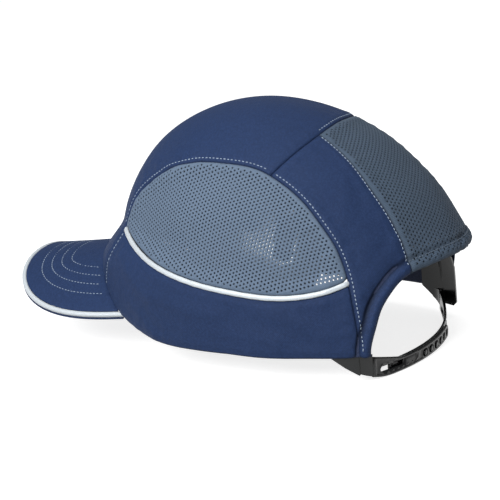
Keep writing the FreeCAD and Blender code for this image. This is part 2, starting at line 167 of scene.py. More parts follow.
def resample(points, step):
    points = np.asarray(points, float)
    length = lengths(points)
    count = max(2, int(round(length[-1] / step)) + 1)
    return at_lengths(np.linspace(0, length[-1], count), length, points)


def between(t, ta, a, tb, b):
    """A value between a, at ta, and b, at tb, or carried on past them."""
    return (tb - t) / (tb - ta) * a + (t - ta) / (tb - ta) * b


def spline(points, step=1.5):
    """Smooth curve through a few points (centripetal Catmull-Rom), evenly sampled."""
    p = np.asarray(points, float)
    p = np.vstack([2 * p[0] - p[1], p, 2 * p[-1] - p[-2]])
    out = []
    for a, b, c, d in zip(p, p[1:], p[2:], p[3:]):
        ta, tb = 0.0, np.linalg.norm(b - a) ** 0.5
        tc = tb + np.linalg.norm(c - b) ** 0.5
        td = tc + np.linalg.norm(d - c) ** 0.5
        t = np.linspace(tb, tc, 24, endpoint=False)[:, None]
        bc = between(t, tb, b, tc, c)
        abc = between(t, ta, between(t, ta, a, tb, b), tc, bc)
        bcd = between(t, tb, bc, td, between(t, tc, c, td, d))
        out.append(between(t, tb, abc, tc, bcd))
    return resample(np.vstack(out + [p[-2:-1]]), step)


def split(curve, values):
    """A curve cut in two where values first change sign."""
    change = np.nonzero(np.sign(values[:-1]) != np.sign(values[1:]))[0][0]
    share = values[change] / (values[change] - values[change + 1])
    joint = curve[change] * (1 - share) + curve[change + 1] * share
    return np.vstack([curve[:change + 1], joint]), np.vstack([joint, curve[change + 1:]])


def mirror(curve):
    return curve * np.array([-1.0, 1, 1])


def left_of(line):
    """Unit directions to the left of a flat line."""
    along = unit(np.gradient(line, axis=0))
    return np.column_stack([-along[:, 1], along[:, 0]])


def full_turn(count):
    return np.linspace(0, 2 * math.pi, count, endpoint=False)


def loop(*curves):
    """Curves end to end as one closed outline, with no doubled points."""
    points = np.vstack(curves)
    keep = np.linalg.norm(points - np.roll(points, 1, axis=0), axis=1) > 0.35
    return points[keep]


# ---------------------------------------------------------------- seams, as the frame has them

FRONT_TIP = (-93.0, 57.5)
FRONT_SEAM = [(-109.0, 8.0), (-108.0, 22.0), (-102.5, 40.0), FRONT_TIP]
SIDE_SEAM = [FRONT_TIP, (-84.0, 77.0), (-66.0, 91.0), (-43.0, 99.0), (-22.0, 100.0), (-4.0, 97.5),
             (10.0, 91.5), (23.0, 82.5), (35.0, 70.0), (44.0, 58.0), (50.0, 45.0), (54.0, 28.0),
             (57.0, 12.0), (58.0, -8.0)]
PIPING_LINE = [FRONT_TIP, (-81.0, 52.0), (-62.0, 45.0), (-36.0, 38.5), (-11.0, 35.0), (14.0, 33.0),
               (30.0, 34.0), (42.0, 36.5), (52.5, 40.5)]
PIPING_WIDTH = 2.8
CROSS_ROUND, CROSS_MIDDLE, CROSS_HALF = 96.0, 25.0, 66.0
QUARTER_SEAM = [(24.0, 124.0), (27.5, 113.0), (34.0, 99.0), (39.0, 85.0), (42.0, 70.0),
                (44.5, 56.0), (47.5, 38.0)]
OPENING = [(70.8, -6.0), (70.8, 3.0), (68.0, 15.0), (64.0, 25.5), (58.0, 33.5), (52.5, 38.5),
           (46.5, 41.5), (36.0, 43.5), (24.0, 44.7), (12.0, 45.0), (0.0, 45.0)]
BRIM_CREST, BRIM_ARCH, BRIM_SLOPE, BRIM_DATUM = 38.4, 72.0, 0.103, 110.0
HEM_BLEND, HEM_LEVEL_FROM, HEM_RISE = 2.0, 20, 60


def brim_height(x, y):
    return BRIM_CREST - x * x / (2 * BRIM_ARCH) + BRIM_SLOPE * (y + BRIM_DATUM)


def hem_height(x, y):
    """Height of the hem: level at the sides, and up over the brim's arch in front."""
    arch = np.logaddexp(0, brim_height(x, y) / HEM_BLEND) * HEM_BLEND
    ahead = HEM_LEVEL_FROM - y
    return np.where(ahead > 0, arch, 0.0) * np.clip(ahead / HEM_RISE, 0, 1)


def line_round(first, last, step, height_of, level, share, rounds):
    """A line round the dome between two angles in degrees, at a height set by its place."""
    count = int(abs(last - first) * 1.75 / step) + 2
    angle = np.radians(np.linspace(first, last, count))
    level = np.full(count, level)
    for _ in range(rounds):
        at = dome_point(angle, level)
        level = (1 - share) * level + share * height_of(at[:, 0], at[:, 1])
    return dome_point(angle, level)


def hem_points(first, last, step=1.5, lift=0.0):
    """The hem, or a line at a lift over it."""
    return line_round(first, last, step, lambda x, y: hem_height(x, y) + lift, 0.0, 0.5, 40)


def above_hem(points):
    return points[:, 2] - hem_height(points[:, 0], points[:, 1])


def seam_curves():
    seams = {}
    front = from_side(spline(FRONT_SEAM))
    seams["front"] = split(front, above_hem(front))[1]
    side = from_side(spline(SIDE_SEAM))
    side = split(side, np.where(side[:, 1] > 40, above_hem(side), 1.0))[0]
    centre = np.array([0.0, CROSS_MIDDLE - CROSS_ROUND])

    def past_cross(points):
        return np.linalg.norm(points[:, :2] - centre, axis=1) - CROSS_ROUND

    near_cross = (side[:, 2] > 85) & (side[:, 1] > -60)
    seams["side_front"], seams["side_rear"] = split(
        side, np.where(near_cross, past_cross(side), -1.0))
    quarter = from_behind(spline(QUARTER_SEAM))
    quarter = split(quarter, past_cross(quarter))[1]
    arch = from_behind(spline(OPENING))
    arch = split(arch, arch[:, 2])[1]
    nearest = np.linalg.norm(quarter[:, None] - arch[None], axis=2)
    row, column = np.unravel_index(nearest.argmin(), nearest.shape)
    meet = arch[column]
    seams["quarter"] = np.vstack([quarter[:row], meet])
    seams["arch_corner"], seams["arch_mesh"] = arch[:column + 1], arch[column:]
    limit = math.asin(CROSS_HALF / CROSS_ROUND)
    turn = np.linspace(limit, -limit, 120)
    cross = from_above(np.column_stack([np.sin(turn), np.cos(turn)]) * CROSS_ROUND + centre)
    joint, corner = seams["side_rear"][0], seams["quarter"][0]
    cross = split(cross, cross[:, 0] - joint[0])[1]
    cross = np.vstack([joint, cross[1:]])
    outer, rest = split(cross, cross[:, 0] - corner[0])
    seams["cross_outer"] = np.vstack([outer[:-1], corner])
    middle = rest[rest[:, 0] > 0]
    seams["cross_mesh"] = np.vstack([corner, middle[1:], mirror(middle[1:])[::-1], mirror(corner)])
    seams["piping"] = from_side(spline(PIPING_LINE))
    return seams


SEAMS = seam_curves()


def shift_in_side_view(line, distance):
    """A seam drawn in the side view, moved up by a distance, back on the dome."""
    yz = spline(line)
    return from_side(yz + left_of(yz) * distance)


def outlines():
    """Closed outlines of the five kinds of panel, between their seams."""
    s = SEAMS
    front, rear, outer, quarter = s["front"], s["side_rear"], s["cross_outer"], s["quarter"]
    hem_front, hem_rear, corner = (math.degrees(dome_angle(point)[0][0]) for point in (
        front[:1], rear[-1:], s["arch_corner"][:1]))
    upper, lower = (shift_in_side_view(PIPING_LINE, sign * (PIPING_WIDTH / 2 - 0.2))
                    for sign in (1, -1))
    top_end, low_end = (np.linalg.norm(rear - line[-1], axis=1).argmin()
                        for line in (upper, lower))
    half = np.vstack([front[:-1], s["side_front"]])
    return {
        "side_mesh": loop(s["side_front"], rear[1:top_end], upper[3:-2][::-1]),
        "side_band": loop(hem_points(hem_rear, hem_front), front[1:-1], lower[2:-1],
                          rear[low_end + 1:-1]),
        "crown_panel": loop(half, outer[1:-1], s["cross_mesh"], mirror(outer)[::-1][1:-1],
                            mirror(half)[::-1], hem_points(-180 - hem_front, hem_front)[1:-1]),
        "rear_quarter": loop(rear, hem_points(hem_rear, corner)[1:-1], s["arch_corner"][:-1],
                             quarter[::-1], outer[::-1][1:-1]),
        "rear_mesh": loop(s["cross_mesh"], mirror(quarter)[1:], mirror(s["arch_mesh"])[1:],
                          s["arch_mesh"][::-1][1:], quarter[::-1][1:-1]),
    }


OUTLINES = outlines()

# ---------------------------------------------------------------- charts and patches

class Dial:
    """Flat chart of the dome round one direction, true to length along its radii."""
    scale = 97.0

    def __init__(self, middle):
        normal = np.asarray(middle, float) - HUB
        self.normal = normal / np.linalg.norm(normal)
        side = np.cross([0, 0, 1.0], self.normal)
        if np.linalg.norm(side) < 0.05:
            side = np.array([1.0, 0, 0])
        self.side = side / np.linalg.norm(side)
        self.up = np.cross(self.normal, self.side)

    def lift(self, flat, depth=0.0):
        turn = np.hypot(flat[:, 0], flat[:, 1]) / self.scale
        angle = np.arctan2(flat[:, 1], flat[:, 0])
        ring = np.cos(angle)[:, None] * self.side + np.sin(angle)[:, None] * self.up
        ray = np.cos(turn)[:, None] * self.normal + np.sin(turn)[:, None] * ring
        return cast(HUB, ray, depth)

    def flatten(self, points):
        ray = unit(points - HUB)
        turn = np.arccos(np.clip(ray @ self.normal, -1, 1))
        flat = np.column_stack([ray @ self.side, ray @ self.up])
        size = np.maximum(np.linalg.norm(flat, axis=1), 1e-9)
        return flat / size[:, None] * (turn * self.scale)[:, None]

    @staticmethod
    def outward(point):
        return point - HUB


class Wrap:
    """Flat chart of a band round the dome: angle from the front times a length, and height."""
    scale = 95.0

    def lift(self, flat, depth=0.0):
        return dome_point(flat[:, 0] / self.scale - math.pi / 2, flat[:, 1], depth)

    def flatten(self, points):
        angle = dome_angle(points)[0] + math.pi / 2
        angle = (angle + math.pi) % (2 * math.pi) - math.pi
        return np.column_stack([angle * self.scale, points[:, 2]])

    def outward(self, point):
        return np.array([point[0], point[1], 0.0])


class Plan:
    """Chart of the brim: its plan, lifted to the arched surface."""

    def lift(self, flat, depth=0.0):
        return np.column_stack([flat, brim_height(flat[:, 0], flat[:, 1]) - depth])

    def flatten(self, points):
        return points[:, :2]

    def outward(self, point):
        return np.array([0.0, 0.0, 1.0])


def edge_distance(points, outline, closed=True, chunk=4000):
    """Distance from flat points to a flat line, and how far along the line they are."""
    a, b = (outline, np.roll(outline, -1, axis=0)) if closed else (outline[:-1], outline[1:])
    edge = b - a
    size = np.maximum((edge ** 2).sum(1), 1e-12)
    start_of = np.concatenate([[0], np.cumsum(np.sqrt(size))[:-1]])
    out, along = np.empty(len(points)), np.empty(len(points))
    for start in range(0, len(points), chunk):
        p = points[start:start + chunk, None]
        share = np.clip(((p - a) * edge).sum(2) / size, 0, 1)
        gap = np.linalg.norm(p - (a + edge * share[..., None]), axis=2)
        best = gap.argmin(1)
        row = np.arange(len(best))
        out[start:start + chunk] = gap[row, best]
        along[start:start + chunk] = start_of[best] + share[row, best] * np.sqrt(size[best])
    return out, along


def inside(points, outline):
    """Which flat points lie in a closed flat outline."""
    x, y = points[:, 0], points[:, 1]
    hit = np.zeros(len(points), bool)
    for (ax, ay), (bx, by) in zip(outline, np.roll(outline, -1, axis=0)):
        if ay == by:
            continue
        hit ^= ((ay > y) != (by > y)) & (x < (bx - ax) * (y - ay) / (by - ay) + ax)
    return hit


def hex_grid(outline, pitch, margin):
    """Points of a hexagonal grid inside an outline, at least `margin` from its edge."""
    low, high = outline.min(0), outline.max(0)
    rows = []
    for number, y in enumerate(np.arange(low[1], high[1], pitch * math.sqrt(3) / 2)):
        x = np.arange(low[0], high[0], pitch) + (number % 2) * pitch / 2
        rows.append(np.column_stack([x, np.full(len(x), y)]))
    points = np.vstack(rows)
    points = points[inside(points, outline)]
    return points[edge_distance(points, outline)[0] > margin]


def clear_of(points, rings, gap):
    """The points that lie outside closed rings, more than a gap from them."""
    for ring in rings:
        points = points[~inside(points, ring)]
        points = points[edge_distance(points, ring)[0] > gap]
    return points


def rings_distance(points, rings, gap):
    """The gap that points already have, or their distance to the nearest ring if less."""
    for ring in rings:
        gap = np.minimum(gap, edge_distance(points, ring)[0])
    return gap


def signed_area(outline):
    """Area of a flat outline, above 0 if it runs anticlockwise."""
    ahead = np.roll(outline, -1, axis=0)
    return np.sum(outline[:, 0] * ahead[:, 1] - ahead[:, 0] * outline[:, 1]) / 2


def shrink(outline, distance):
    """An outline moved inwards; points that would come too near another edge are dropped."""
    along = np.roll(outline, -1, axis=0) - np.roll(outline, 1, axis=0)
    along = along / np.maximum(np.linalg.norm(along, axis=1, keepdims=True), 1e-9)
    inward = np.column_stack([-along[:, 1], along[:, 0]]) * (1 if signed_area(outline) > 0 else -1)
    moved = outline + inward * distance
    good = np.abs(edge_distance(moved, outline)[0] - distance) < 0.1 * distance + 0.02
    return moved[good & inside(moved, outline)]


def circle_rings(centres, radius, count, turn=0.0):
    """Rings of `count` points round each centre."""
    angle = full_turn(count) + turn
    ring = np.column_stack([np.cos(angle), np.sin(angle)]) * radius
    return centres[:, None] + ring[None]


def triangulate(outline, inner, holes):
    """Triangles of an outline with free inner points, and with closed convex rings cut out."""
    points = [outline] + list(holes)
    edges, total, ring_of = [], 0, []
    for number, ring in enumerate(points):
        edges += [(total + i, total + (i + 1) % len(ring)) for i in range(len(ring))]
        ring_of += [number] * len(ring)
        total += len(ring)
    points = np.vstack(points + [inner])
    ring_of = np.array(ring_of + [0] * (len(points) - total))
    result = delaunay_2d_cdt([Vector(p) for p in points], edges, [], 1, 1e-5)
    flat = np.array([tuple(v) for v in result[0]])
    triangles = np.array([tuple(f) for f in result[2]])
    ring = np.array([ring_of[source[0]] if source else 0 for source in result[3]])[triangles]
    filled = (ring[:, 0] > 0) & (ring[:, 0] == ring[:, 1]) & (ring[:, 1] == ring[:, 2])
    return flat, triangles[~filled]


def build(points, faces, uv=None, painted_shade=None):
    mesh = bpy.data.meshes.new("piece")
    mesh.from_pydata((np.asarray(points) * MM).tolist(), [], faces)
    mesh.polygons.foreach_set("use_smooth", np.ones(len(faces), bool))
    # The last argument is painted shade: how much each point's colour is darkened to stand in for
    # shade.
    if painted_shade is not None:
        layer = mesh.attributes.new("painted_shade", "FLOAT", "POINT")
        layer.data.foreach_set("value", np.asarray(painted_shade, np.float32))
    if uv is not None:
        layer = mesh.uv_layers.new(name="cloth")
        index = np.empty(len(mesh.loops), np.int64)
        mesh.loops.foreach_get("vertex_index", index)
        layer.data.foreach_set("uv", (np.asarray(uv) * MM)[index].ravel())
    mesh.update()
    return mesh


def outwards(triangles, points, chart):
    """Triangles turned to face away from the inside."""
    a, b, c = (points[i] for i in triangles[0])
    return triangles[:, ::-1] if np.cross(b - a, c - a) @ chart.outward(a) < 0 else triangles


def solid_mesh(top, bottom, triangles, uv, painted_shade=None):
    """Closed mesh from matching top and bottom points, with walls along free edges."""
    count = len(top)
    sides = np.vstack([triangles[:, [0, 1]], triangles[:, [1, 2]], triangles[:, [2, 0]]])
    key = sides[:, 0].astype(np.int64) * count + sides[:, 1]
    back = sides[:, 1].astype(np.int64) * count + sides[:, 0]
    free = sides[~np.isin(key, back)]
    walls = np.column_stack([free[:, 1], free[:, 0], free[:, 0] + count, free[:, 1] + count])
    faces = triangles.tolist() + (triangles[:, ::-1] + count).tolist() + walls.tolist()
    if painted_shade is not None:
        painted_shade = np.concatenate([painted_shade, painted_shade])
    return build(np.vstack([top, bottom]), faces, np.vstack([uv, uv]), painted_shade)


SEAM_RINGS = (0.4, 0.9, 1.6, 2.5, 3.5)
# Flat points of a panel, their distance from its edge, how far along it, and their place.
Spots = namedtuple("Spots", "flat edge along place")


def patch(chart, outline, spacing, top, back, rings=SEAM_RINGS, holes=(), extra=None, painted_shade=None):
    """Panel inside a flat outline, between two depths, which top and back give for Spots.
    Its last argument gives painted shade: how far shade is painted into the colour there,
    from 0 to 1. Without extra inner points it is filled with a grid."""
    if extra is None:
        extra = hex_grid(outline, spacing, max(rings) + 0.55 * spacing)
    inner = [shrink(outline, ring) for ring in rings] + [extra]
    points, triangles = triangulate(outline, np.vstack(inner), holes)
    at = Spots(points, *edge_distance(points, outline), chart.lift(points))
    upper, lower = (chart.lift(points, depth(at)) for depth in (top, back))
    dark = None if painted_shade is None else painted_shade(at)
    return solid_mesh(upper, lower, outwards(triangles, upper, chart), points, dark)


def place(name, mesh, material, body, slot):
    """Puts a piece on a body, in place of the CAD node of its name if there is one."""
    mesh.name = name
    mesh.materials.append(material)
    piece = bpy.data.objects.new(name, mesh)
    bpy.context.scene.collection.objects.link(piece)
    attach(piece, body)
    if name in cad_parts:
        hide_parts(name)
    return piece


def flipped(mesh):
    """The mirror image of a mesh across the middle plane."""
    other = mesh.copy()
    points = np.empty(len(other.vertices) * 3)
    other.vertices.foreach_get("co", points)
    points = points.reshape(-1, 3) * [-1, 1, 1]
    other.vertices.foreach_set("co", points.ravel())
    other.flip_normals()
    other.update()
    return other


def both(name, mesh, *finish):
    """A piece on the left and its mirror image on the right."""
    other = flipped(mesh)
    return [place(name + "_left", mesh, *finish), place(name + "_right", other, *finish)]


def cut_size(pieces, outline):
    """Works out the area of the flat outline for each piece, and keeps nothing of it."""
    for piece in pieces:
        float(abs(signed_area(outline)) * MM * MM)


# ---------------------------------------------------------------- swept tubes and stitches

def tube_faces(count, ring, first=0):
    """Faces of a closed tube of `count` rings with `ring` points each."""
    faces = []
    for start in range(first, first + (count - 1) * ring, ring):
        for j in range(ring):
            k = (j + 1) % ring
            faces.append((start + j, start + k, start + ring + k, start + ring + j))
    last = first + (count - 1) * ring
    return faces + [tuple(range(first, first + ring))[::-1], tuple(range(last, last + ring))]


def tube_points(path, side, out, section, scale):
    """Rings of (side, out) section points along a path, each ring scaled."""
    sized = section[None] * scale[:, None, None]
    return (path[:, None] + side[:, None] * sized[:, :, :1]
            + out[:, None] * sized[:, :, 1:]).reshape(-1, 3)


def sweep(path, out, section, scale=None, side=None):
    """Tube along a path. section has (side, out) points, and scale may taper it."""
    count, ring = len(path), len(section)
    side = sideways(path, out) if side is None else side
    points = tube_points(path, side, out, section, np.ones(count) if scale is None else scale)
    faces = tube_faces(count, ring)
    uv = np.stack(np.meshgrid(lengths(path), lengths(section), indexing="ij"), axis=-1)
    a, b, c = points[0], points[1], points[ring]
    if np.cross(b - a, c - a) @ (points[0] - path[0]) < 0:
        faces = [f[::-1] for f in faces]
    return build(points, faces, uv.reshape(-1, 2))


def sideways(path, out):
    """Unit directions across a path, at right angles to its outward directions."""
    return unit(np.cross(unit(np.gradient(path, axis=0)), out))


def oval(half_wide, half_high, count=16, power=2.0):
    turn = full_turn(count)
    parts = (np.cos(turn), half_wide), (np.sin(turn), half_high)
    return np.column_stack([np.sign(part) * np.abs(part) ** (2 / power) * half
                            for part, half in parts])


def on_dome(points, depth=0.0):
    return cast(HUB, unit(points - HUB), depth)


def beside(curve, distance):
    """A curve on the dome moved sideways over its surface."""
    return on_dome(curve + sideways(curve, dome_normal(curve)) * distance)


STITCH, STITCH_GAP, THREAD = 1.7, 0.6, 0.23
STITCH_STEPS, STITCH_SIDES = 7, 8


def stitch_row(path, out, proud):
    """The stitches of one row along a path on the cloth, each as the points of a short tube."""
    length = lengths(path)
    shape = oval(THREAD * 1.15, THREAD * 0.8, STITCH_SIDES)
    steps = np.linspace(0, 1, STITCH_STEPS)
    lift = proud - 0.45 * np.abs(2 * steps - 1) ** 4
    thin = 1 - 0.35 * np.abs(2 * steps - 1) ** 3
    for number in range(int((length[-1] - STITCH_GAP) / (STITCH + STITCH_GAP))):
        start = STITCH_GAP / 2 + number * (STITCH + STITCH_GAP) + rng.uniform(-0.1, 0.1)
        at = start + steps * (STITCH + rng.uniform(-0.15, 0.15))
        spot, normal = at_lengths(at, length, path), unit(at_lengths(at, length, out))
        side = sideways(spot, normal)
        slant = (steps - 0.5) * rng.uniform(-0.2, 0.2)
        spot = spot + normal * lift[:, None] + side * slant[:, None]
        yield tube_points(spot, side, normal, shape, thin)


def stitches(name, rows, material, slot, proud=0.12):
    """One piece on the cap with several rows of stitches, each a (path, outward directions)."""
    points = [stitch for path, out in rows for stitch in stitch_row(path, out, proud)]
    faces = []
    for number in range(len(points)):
        tube = tube_faces(STITCH_STEPS, STITCH_SIDES, number * STITCH_STEPS * STITCH_SIDES)
        faces += [face[:1] + face[:0:-1] for face in tube]
    return place(name, build(np.vstack(points), faces), material, "cap", slot)


# ---------------------------------------------------------------- materials

class Nodes:
    """Small helper for node materials."""

    def __init__(self, name):
        self.material = bpy.data.materials.new(name)
        self.material.use_nodes = True
        self.tree = self.material.node_tree
        self.shader = self.tree.nodes["Principled BSDF"]

    def new(self, kind, **values):
        node = self.tree.nodes.new(kind)
        for key, value in values.items():
            if hasattr(node, key):
                setattr(node, key, value)
            else:
                node.inputs[key.replace("_", " ")].default_value = value
        return node

    def feed(self, value, socket):
        """Links an output to a socket, or sets the socket to a number or a colour."""
        if isinstance(value, (int, float)):
            socket.default_value = value
        elif isinstance(value, tuple):
            socket.default_value = (*value, 1.0)
        elif value is not None:
            self.tree.links.new(value, socket)

    def painted_shade_mix(self, base, colour):
        """The base colour, darkened by painted shade where the piece's point attribute marks it."""
        mark = self.new("ShaderNodeAttribute", attribute_name="painted_shade")
        return self.mix(mark.outputs["Fac"], base, colour)

    def math(self, kind, a, b=None):
        node = self.new("ShaderNodeMath", operation=kind)
        self.feed(a, node.inputs[0])
        self.feed(b, node.inputs[1])
        return node.outputs[0]

    def add(self, a, b):
        return self.math("ADD", a, b)

    def times(self, a, b):
        return self.math("MULTIPLY", a, b)

    def coordinates(self, kind, scale=(1.0, 1.0, 1.0)):
        mapping = self.new("ShaderNodeMapping", Scale=scale)
        self.feed(self.new("ShaderNodeTexCoord").outputs[kind], mapping.inputs["Vector"])
        return mapping.outputs["Vector"]

    def yarns(self, pitch):
        """The cloth's coordinates counted in yarns, and their two parts."""
        uv = self.coordinates("UV", (1 / (pitch * MM),) * 3)
        parts = self.new("ShaderNodeSeparateXYZ")
        self.feed(uv, parts.inputs[0])
        return uv, parts.outputs[0], parts.outputs[1]

    def noise(self, vector, scale, detail=2.0, roughness=0.5):
        node = self.new("ShaderNodeTexNoise", Scale=scale, Detail=detail, Roughness=roughness)
        self.feed(vector, node.inputs["Vector"])
        return node.outputs["Fac"]

    def cells(self, vector, scale):
        """Distance from the middle of each small cell."""
        node = self.new("ShaderNodeTexVoronoi", feature="F1", Scale=scale)
        self.feed(vector, node.inputs["Vector"])
        return node.outputs["Distance"]

    def ramp(self, value, stops):
        node = self.new("ShaderNodeValToRGB")
        ramp = node.color_ramp
        for number, (at, colour) in enumerate(stops):
            stop = ramp.elements[number] if number < 2 else ramp.elements.new(at)
            stop.position = at
            stop.color = (*colour, 1.0)
        self.feed(value, node.inputs["Fac"])
        return node.outputs["Color"]

    def mix(self, share, a, b):
        """Colour a where the share is 0 and b where it is 1."""
        node = self.new("ShaderNodeMix", data_type="RGBA")
        for number, value in ((0, share), (6, a), (7, b)):
            self.feed(value, node.inputs[number])
        return node.outputs[2]

    def bump(self, height, distance, strength=1.0, after=None):
        node = self.new("ShaderNodeBump", Distance=distance * MM, Strength=strength)
        self.feed(height, node.inputs["Height"])
        self.feed(after, node.inputs["Normal"])
        return node.outputs["Normal"]

    def finish(self, colour, roughness, normal, **values):
        for name, value in (("Base Color", colour), ("Roughness", roughness), ("Normal", normal)):
            self.feed(value, self.shader.inputs[name])
        for key, value in values.items():
            self.shader.inputs[key.replace("_", " ")].default_value = value
        return self.material


def shade(colour, factor):
    return tuple(min(1.0, c * factor) for c in colour)


WOVEN_ROUGH, MELANGE = (0.50, 0.72), 0.36


def woven(name, colour, pitch, depth, twill=False, sheen=0.03):
    """Woven cloth: crossing yarns with a height of their own, and colour that varies by yarn."""
    n = Nodes(name)
    uv, u, v = n.yarns(pitch)
    u = n.add(u, n.times(n.noise(uv, 0.09, 3.0), 0.7))
    if twill:
        v = n.add(v, n.times(u, 0.55))
    warp, weft = (n.math("SINE", n.times(part, math.pi)) for part in (u, v))
    yarn = n.add(n.times(n.times(warp, weft), 0.5), 0.5)
    place_of = n.coordinates("Object")
    broad = n.noise(place_of, 38.0, 3.0, 0.6)
    grain = n.noise(uv, 1.7, 2.0, 0.7)
    slub = n.noise(n.coordinates("UV", (0.25 / (pitch * MM), 2.2 / (pitch * MM), 1)), 1.0, 1.0)
    tint = n.add(n.times(grain, 0.5), n.times(slub, 0.5))
    base = n.ramp(tint, [(0.30, shade(colour, 1 - MELANGE)), (0.70, shade(colour, 1 + MELANGE))])
    base = n.mix(n.times(yarn, 0.45), base, shade(colour, 1.35))
    fleck = n.noise(place_of, 900.0, 3.0, 0.7)
    base = n.mix(n.times(broad, 0.28), base, shade(colour, 0.72))
    base = n.mix(n.ramp(fleck, [(0.44, (0, 0, 0)), (0.62, (0.4, 0.4, 0.4))]), base,
                 shade(colour, 1.7))
    # Painted shade: darker in the hem's groove and along the seams, where the piece's attribute
    # marks it.
    base = n.painted_shade_mix(base, shade(colour, 0.30))
    fine = n.bump(n.add(yarn, n.times(grain, 0.5)), depth)
    crumple = n.noise(place_of, 130.0, 3.0, 0.6)
    soft = n.bump(crumple, 0.6, 0.6, n.bump(broad, 1.4, 0.5, fine))
    low, high = WOVEN_ROUGH
    roughness = n.add(n.times(grain, high - low), low)
    return n.finish(base, roughness, soft, Sheen_Weight=sheen, Sheen_Roughness=0.45,
                    Sheen_Tint=(0.45, 0.6, 1.0, 1.0), Specular_IOR_Level=0.10)


def knit(name, colour, pitch, depth, sheen=0.05):
    """Fine knitted yarn, as between the holes of an air mesh or on foam lining."""
    n = Nodes(name)
    uv, u, v = n.yarns(pitch)
    zig = n.math("ABSOLUTE", n.math("SINE", n.times(u, math.pi)))
    rows = n.add(v, n.times(zig, 0.6))
    loops = n.math("SINE", n.times(rows, 2 * math.pi))
    stitch = n.add(n.times(n.times(loops, zig), 0.5), 0.5)
    grain = n.noise(uv, 2.3, 2.0, 0.7)
    broad = n.noise(n.coordinates("Object"), 30.0, 3.0, 0.6)
    tint = n.add(n.times(stitch, 0.45), n.times(grain, 0.55))
    base = n.ramp(tint, [(0.2, shade(colour, 0.62)), (0.55, colour), (0.85, shade(colour, 1.4))])
    base = n.mix(n.times(broad, 0.25), base, shade(colour, 0.7))
    # Painted shade: darker round the mesh holes and in the groove, where the piece's attribute
    # marks it.
    base = n.painted_shade_mix(base, shade(colour, 0.22))
    height = n.add(stitch, n.times(grain, 0.6))
    return n.finish(base, 0.72, n.bump(height, depth), Sheen_Weight=sheen, Sheen_Roughness=0.4,
                    Sheen_Tint=(0.75, 0.85, 1.0, 1.0), Specular_IOR_Level=0.2)


def plastic(name, colour, rough, orange=0.03, grain=0.0, coat=0.0, specks=0.0, shine=0.5):
    """Moulded plastic: a faint orange peel, fine surface grain and handling marks."""
    n = Nodes(name)
    place_of = n.coordinates("Object")
    peel = n.noise(place_of, 260.0, 2.0, 0.5)
    fine = n.noise(place_of, 2400.0, 2.0, 0.6)
    broad = n.noise(place_of, 45.0, 4.0, 0.6)
    base = n.ramp(broad, [(0.35, shade(colour, 0.85)), (0.65, shade(colour, 1.2))])
    if specks:
        base = n.mix(n.times(fine, specks), base, shade(colour, 2.0))
    roughness = n.add(n.times(broad, 0.14), rough - 0.07)
    normal = n.bump(peel, orange)
    if grain:
        normal = n.bump(fine, grain, 1.0, normal)
    return n.finish(base, roughness, normal, Coat_Weight=coat, Coat_Roughness=0.12,
                    Specular_IOR_Level=shine)


BEAD_PITCH = 0.35


def piping_material(name, colour):
    """Reflective tape: tiny beads that glint, on a fine plain weave."""
    n = Nodes(name)
    uv = n.coordinates("UV", (1 / (BEAD_PITCH * MM),) * 3)
    beads = n.cells(uv, 2.4)
    grain = n.noise(uv, 0.6, 2.0, 0.6)
    base = n.ramp(grain, [(0.3, shade(colour, 0.86)), (0.7, shade(colour, 1.08))])
    rough = n.add(n.times(beads, 0.25), 0.36)
    return n.finish(base, rough, n.bump(beads, 0.04, 0.7), Metallic=0.25, Sheen_Weight=0.2)


def thread_material(name, colour):
    """Twisted sewing thread."""
    n = Nodes(name)
    twist = n.noise(n.coordinates("Object"), 3800.0, 1.0)
    base = n.ramp(twist, [(0.3, shade(colour, 0.75)), (0.7, shade(colour, 1.2))])
    return n.finish(base, 0.5, n.bump(twist, 0.06), Sheen_Weight=0.1, Specular_IOR_Level=0.3)


def terry(name, colour):
    """Looped towelling."""
    n = Nodes(name)
    place_of = n.coordinates("Object")
    fuzz = n.noise(place_of, 2100.0, 3.0, 0.7)
    tint = n.add(n.times(fuzz, 0.6), n.times(n.noise(place_of, 60.0, 3.0), 0.4))
    base = n.ramp(tint, [(0.3, shade(colour, 0.6)), (0.7, shade(colour, 1.7))])
    height = n.math("SUBTRACT", n.times(fuzz, 0.6), n.cells(place_of, 900.0))
    return n.finish(base, 0.95, n.bump(height, 0.5), Sheen_Weight=0.6, Sheen_Roughness=0.5)


NAVY = (0.0112, 0.0232, 0.0640)
NYLON = woven("navy_nylon", NAVY, 0.55, 0.10)
BRIM_CLOTH = woven("brim_cloth", NAVY, 0.55, 0.10)
BRIM_LINING = woven("brim_lining", shade(NAVY, 0.75), 0.60, 0.10, sheen=0.25)
TAPE = woven("inner_tape", (0.022, 0.030, 0.062), 0.9, 0.16, twill=True)
MESH_CLOTH = knit("air_mesh", (0.095, 0.135, 0.196), 0.9, 0.12)
# A darker copy of the air mesh for the rear panel: painted shade, for the rear getting less light.
SHADED_REAR_MESH_CLOTH = knit("rear_air_mesh_painted_shade", (0.049, 0.074, 0.111), 0.9, 0.12)
PAD_CLOTH = knit("pad_lining", (0.075, 0.080, 0.092), 0.8, 0.18, sheen=0.3)
TOWEL = terry("towelling", (0.055, 0.066, 0.105))
PIPING = piping_material("reflective_tape", (0.46, 0.50, 0.53))
THREAD_PALE = thread_material("pale_thread", (0.24, 0.30, 0.38))
THREAD_MESH = thread_material("mesh_thread", (0.060, 0.085, 0.120))
THREAD_BRIM = thread_material("brim_thread", (0.18, 0.23, 0.30))
SHELL_PLASTIC = plastic("shell_plastic", (0.045, 0.052, 0.060), 0.16, 0.05, coat=0.6)
STRAP_PLASTIC = plastic("strap_plastic", (0.006, 0.007, 0.0075), 0.24, 0.04, grain=0.004,
                        shine=0.32)
BOARD_PLASTIC = plastic("board_plastic", (0.70, 0.70, 0.67), 0.5, 0.03, grain=0.01, specks=0.2)

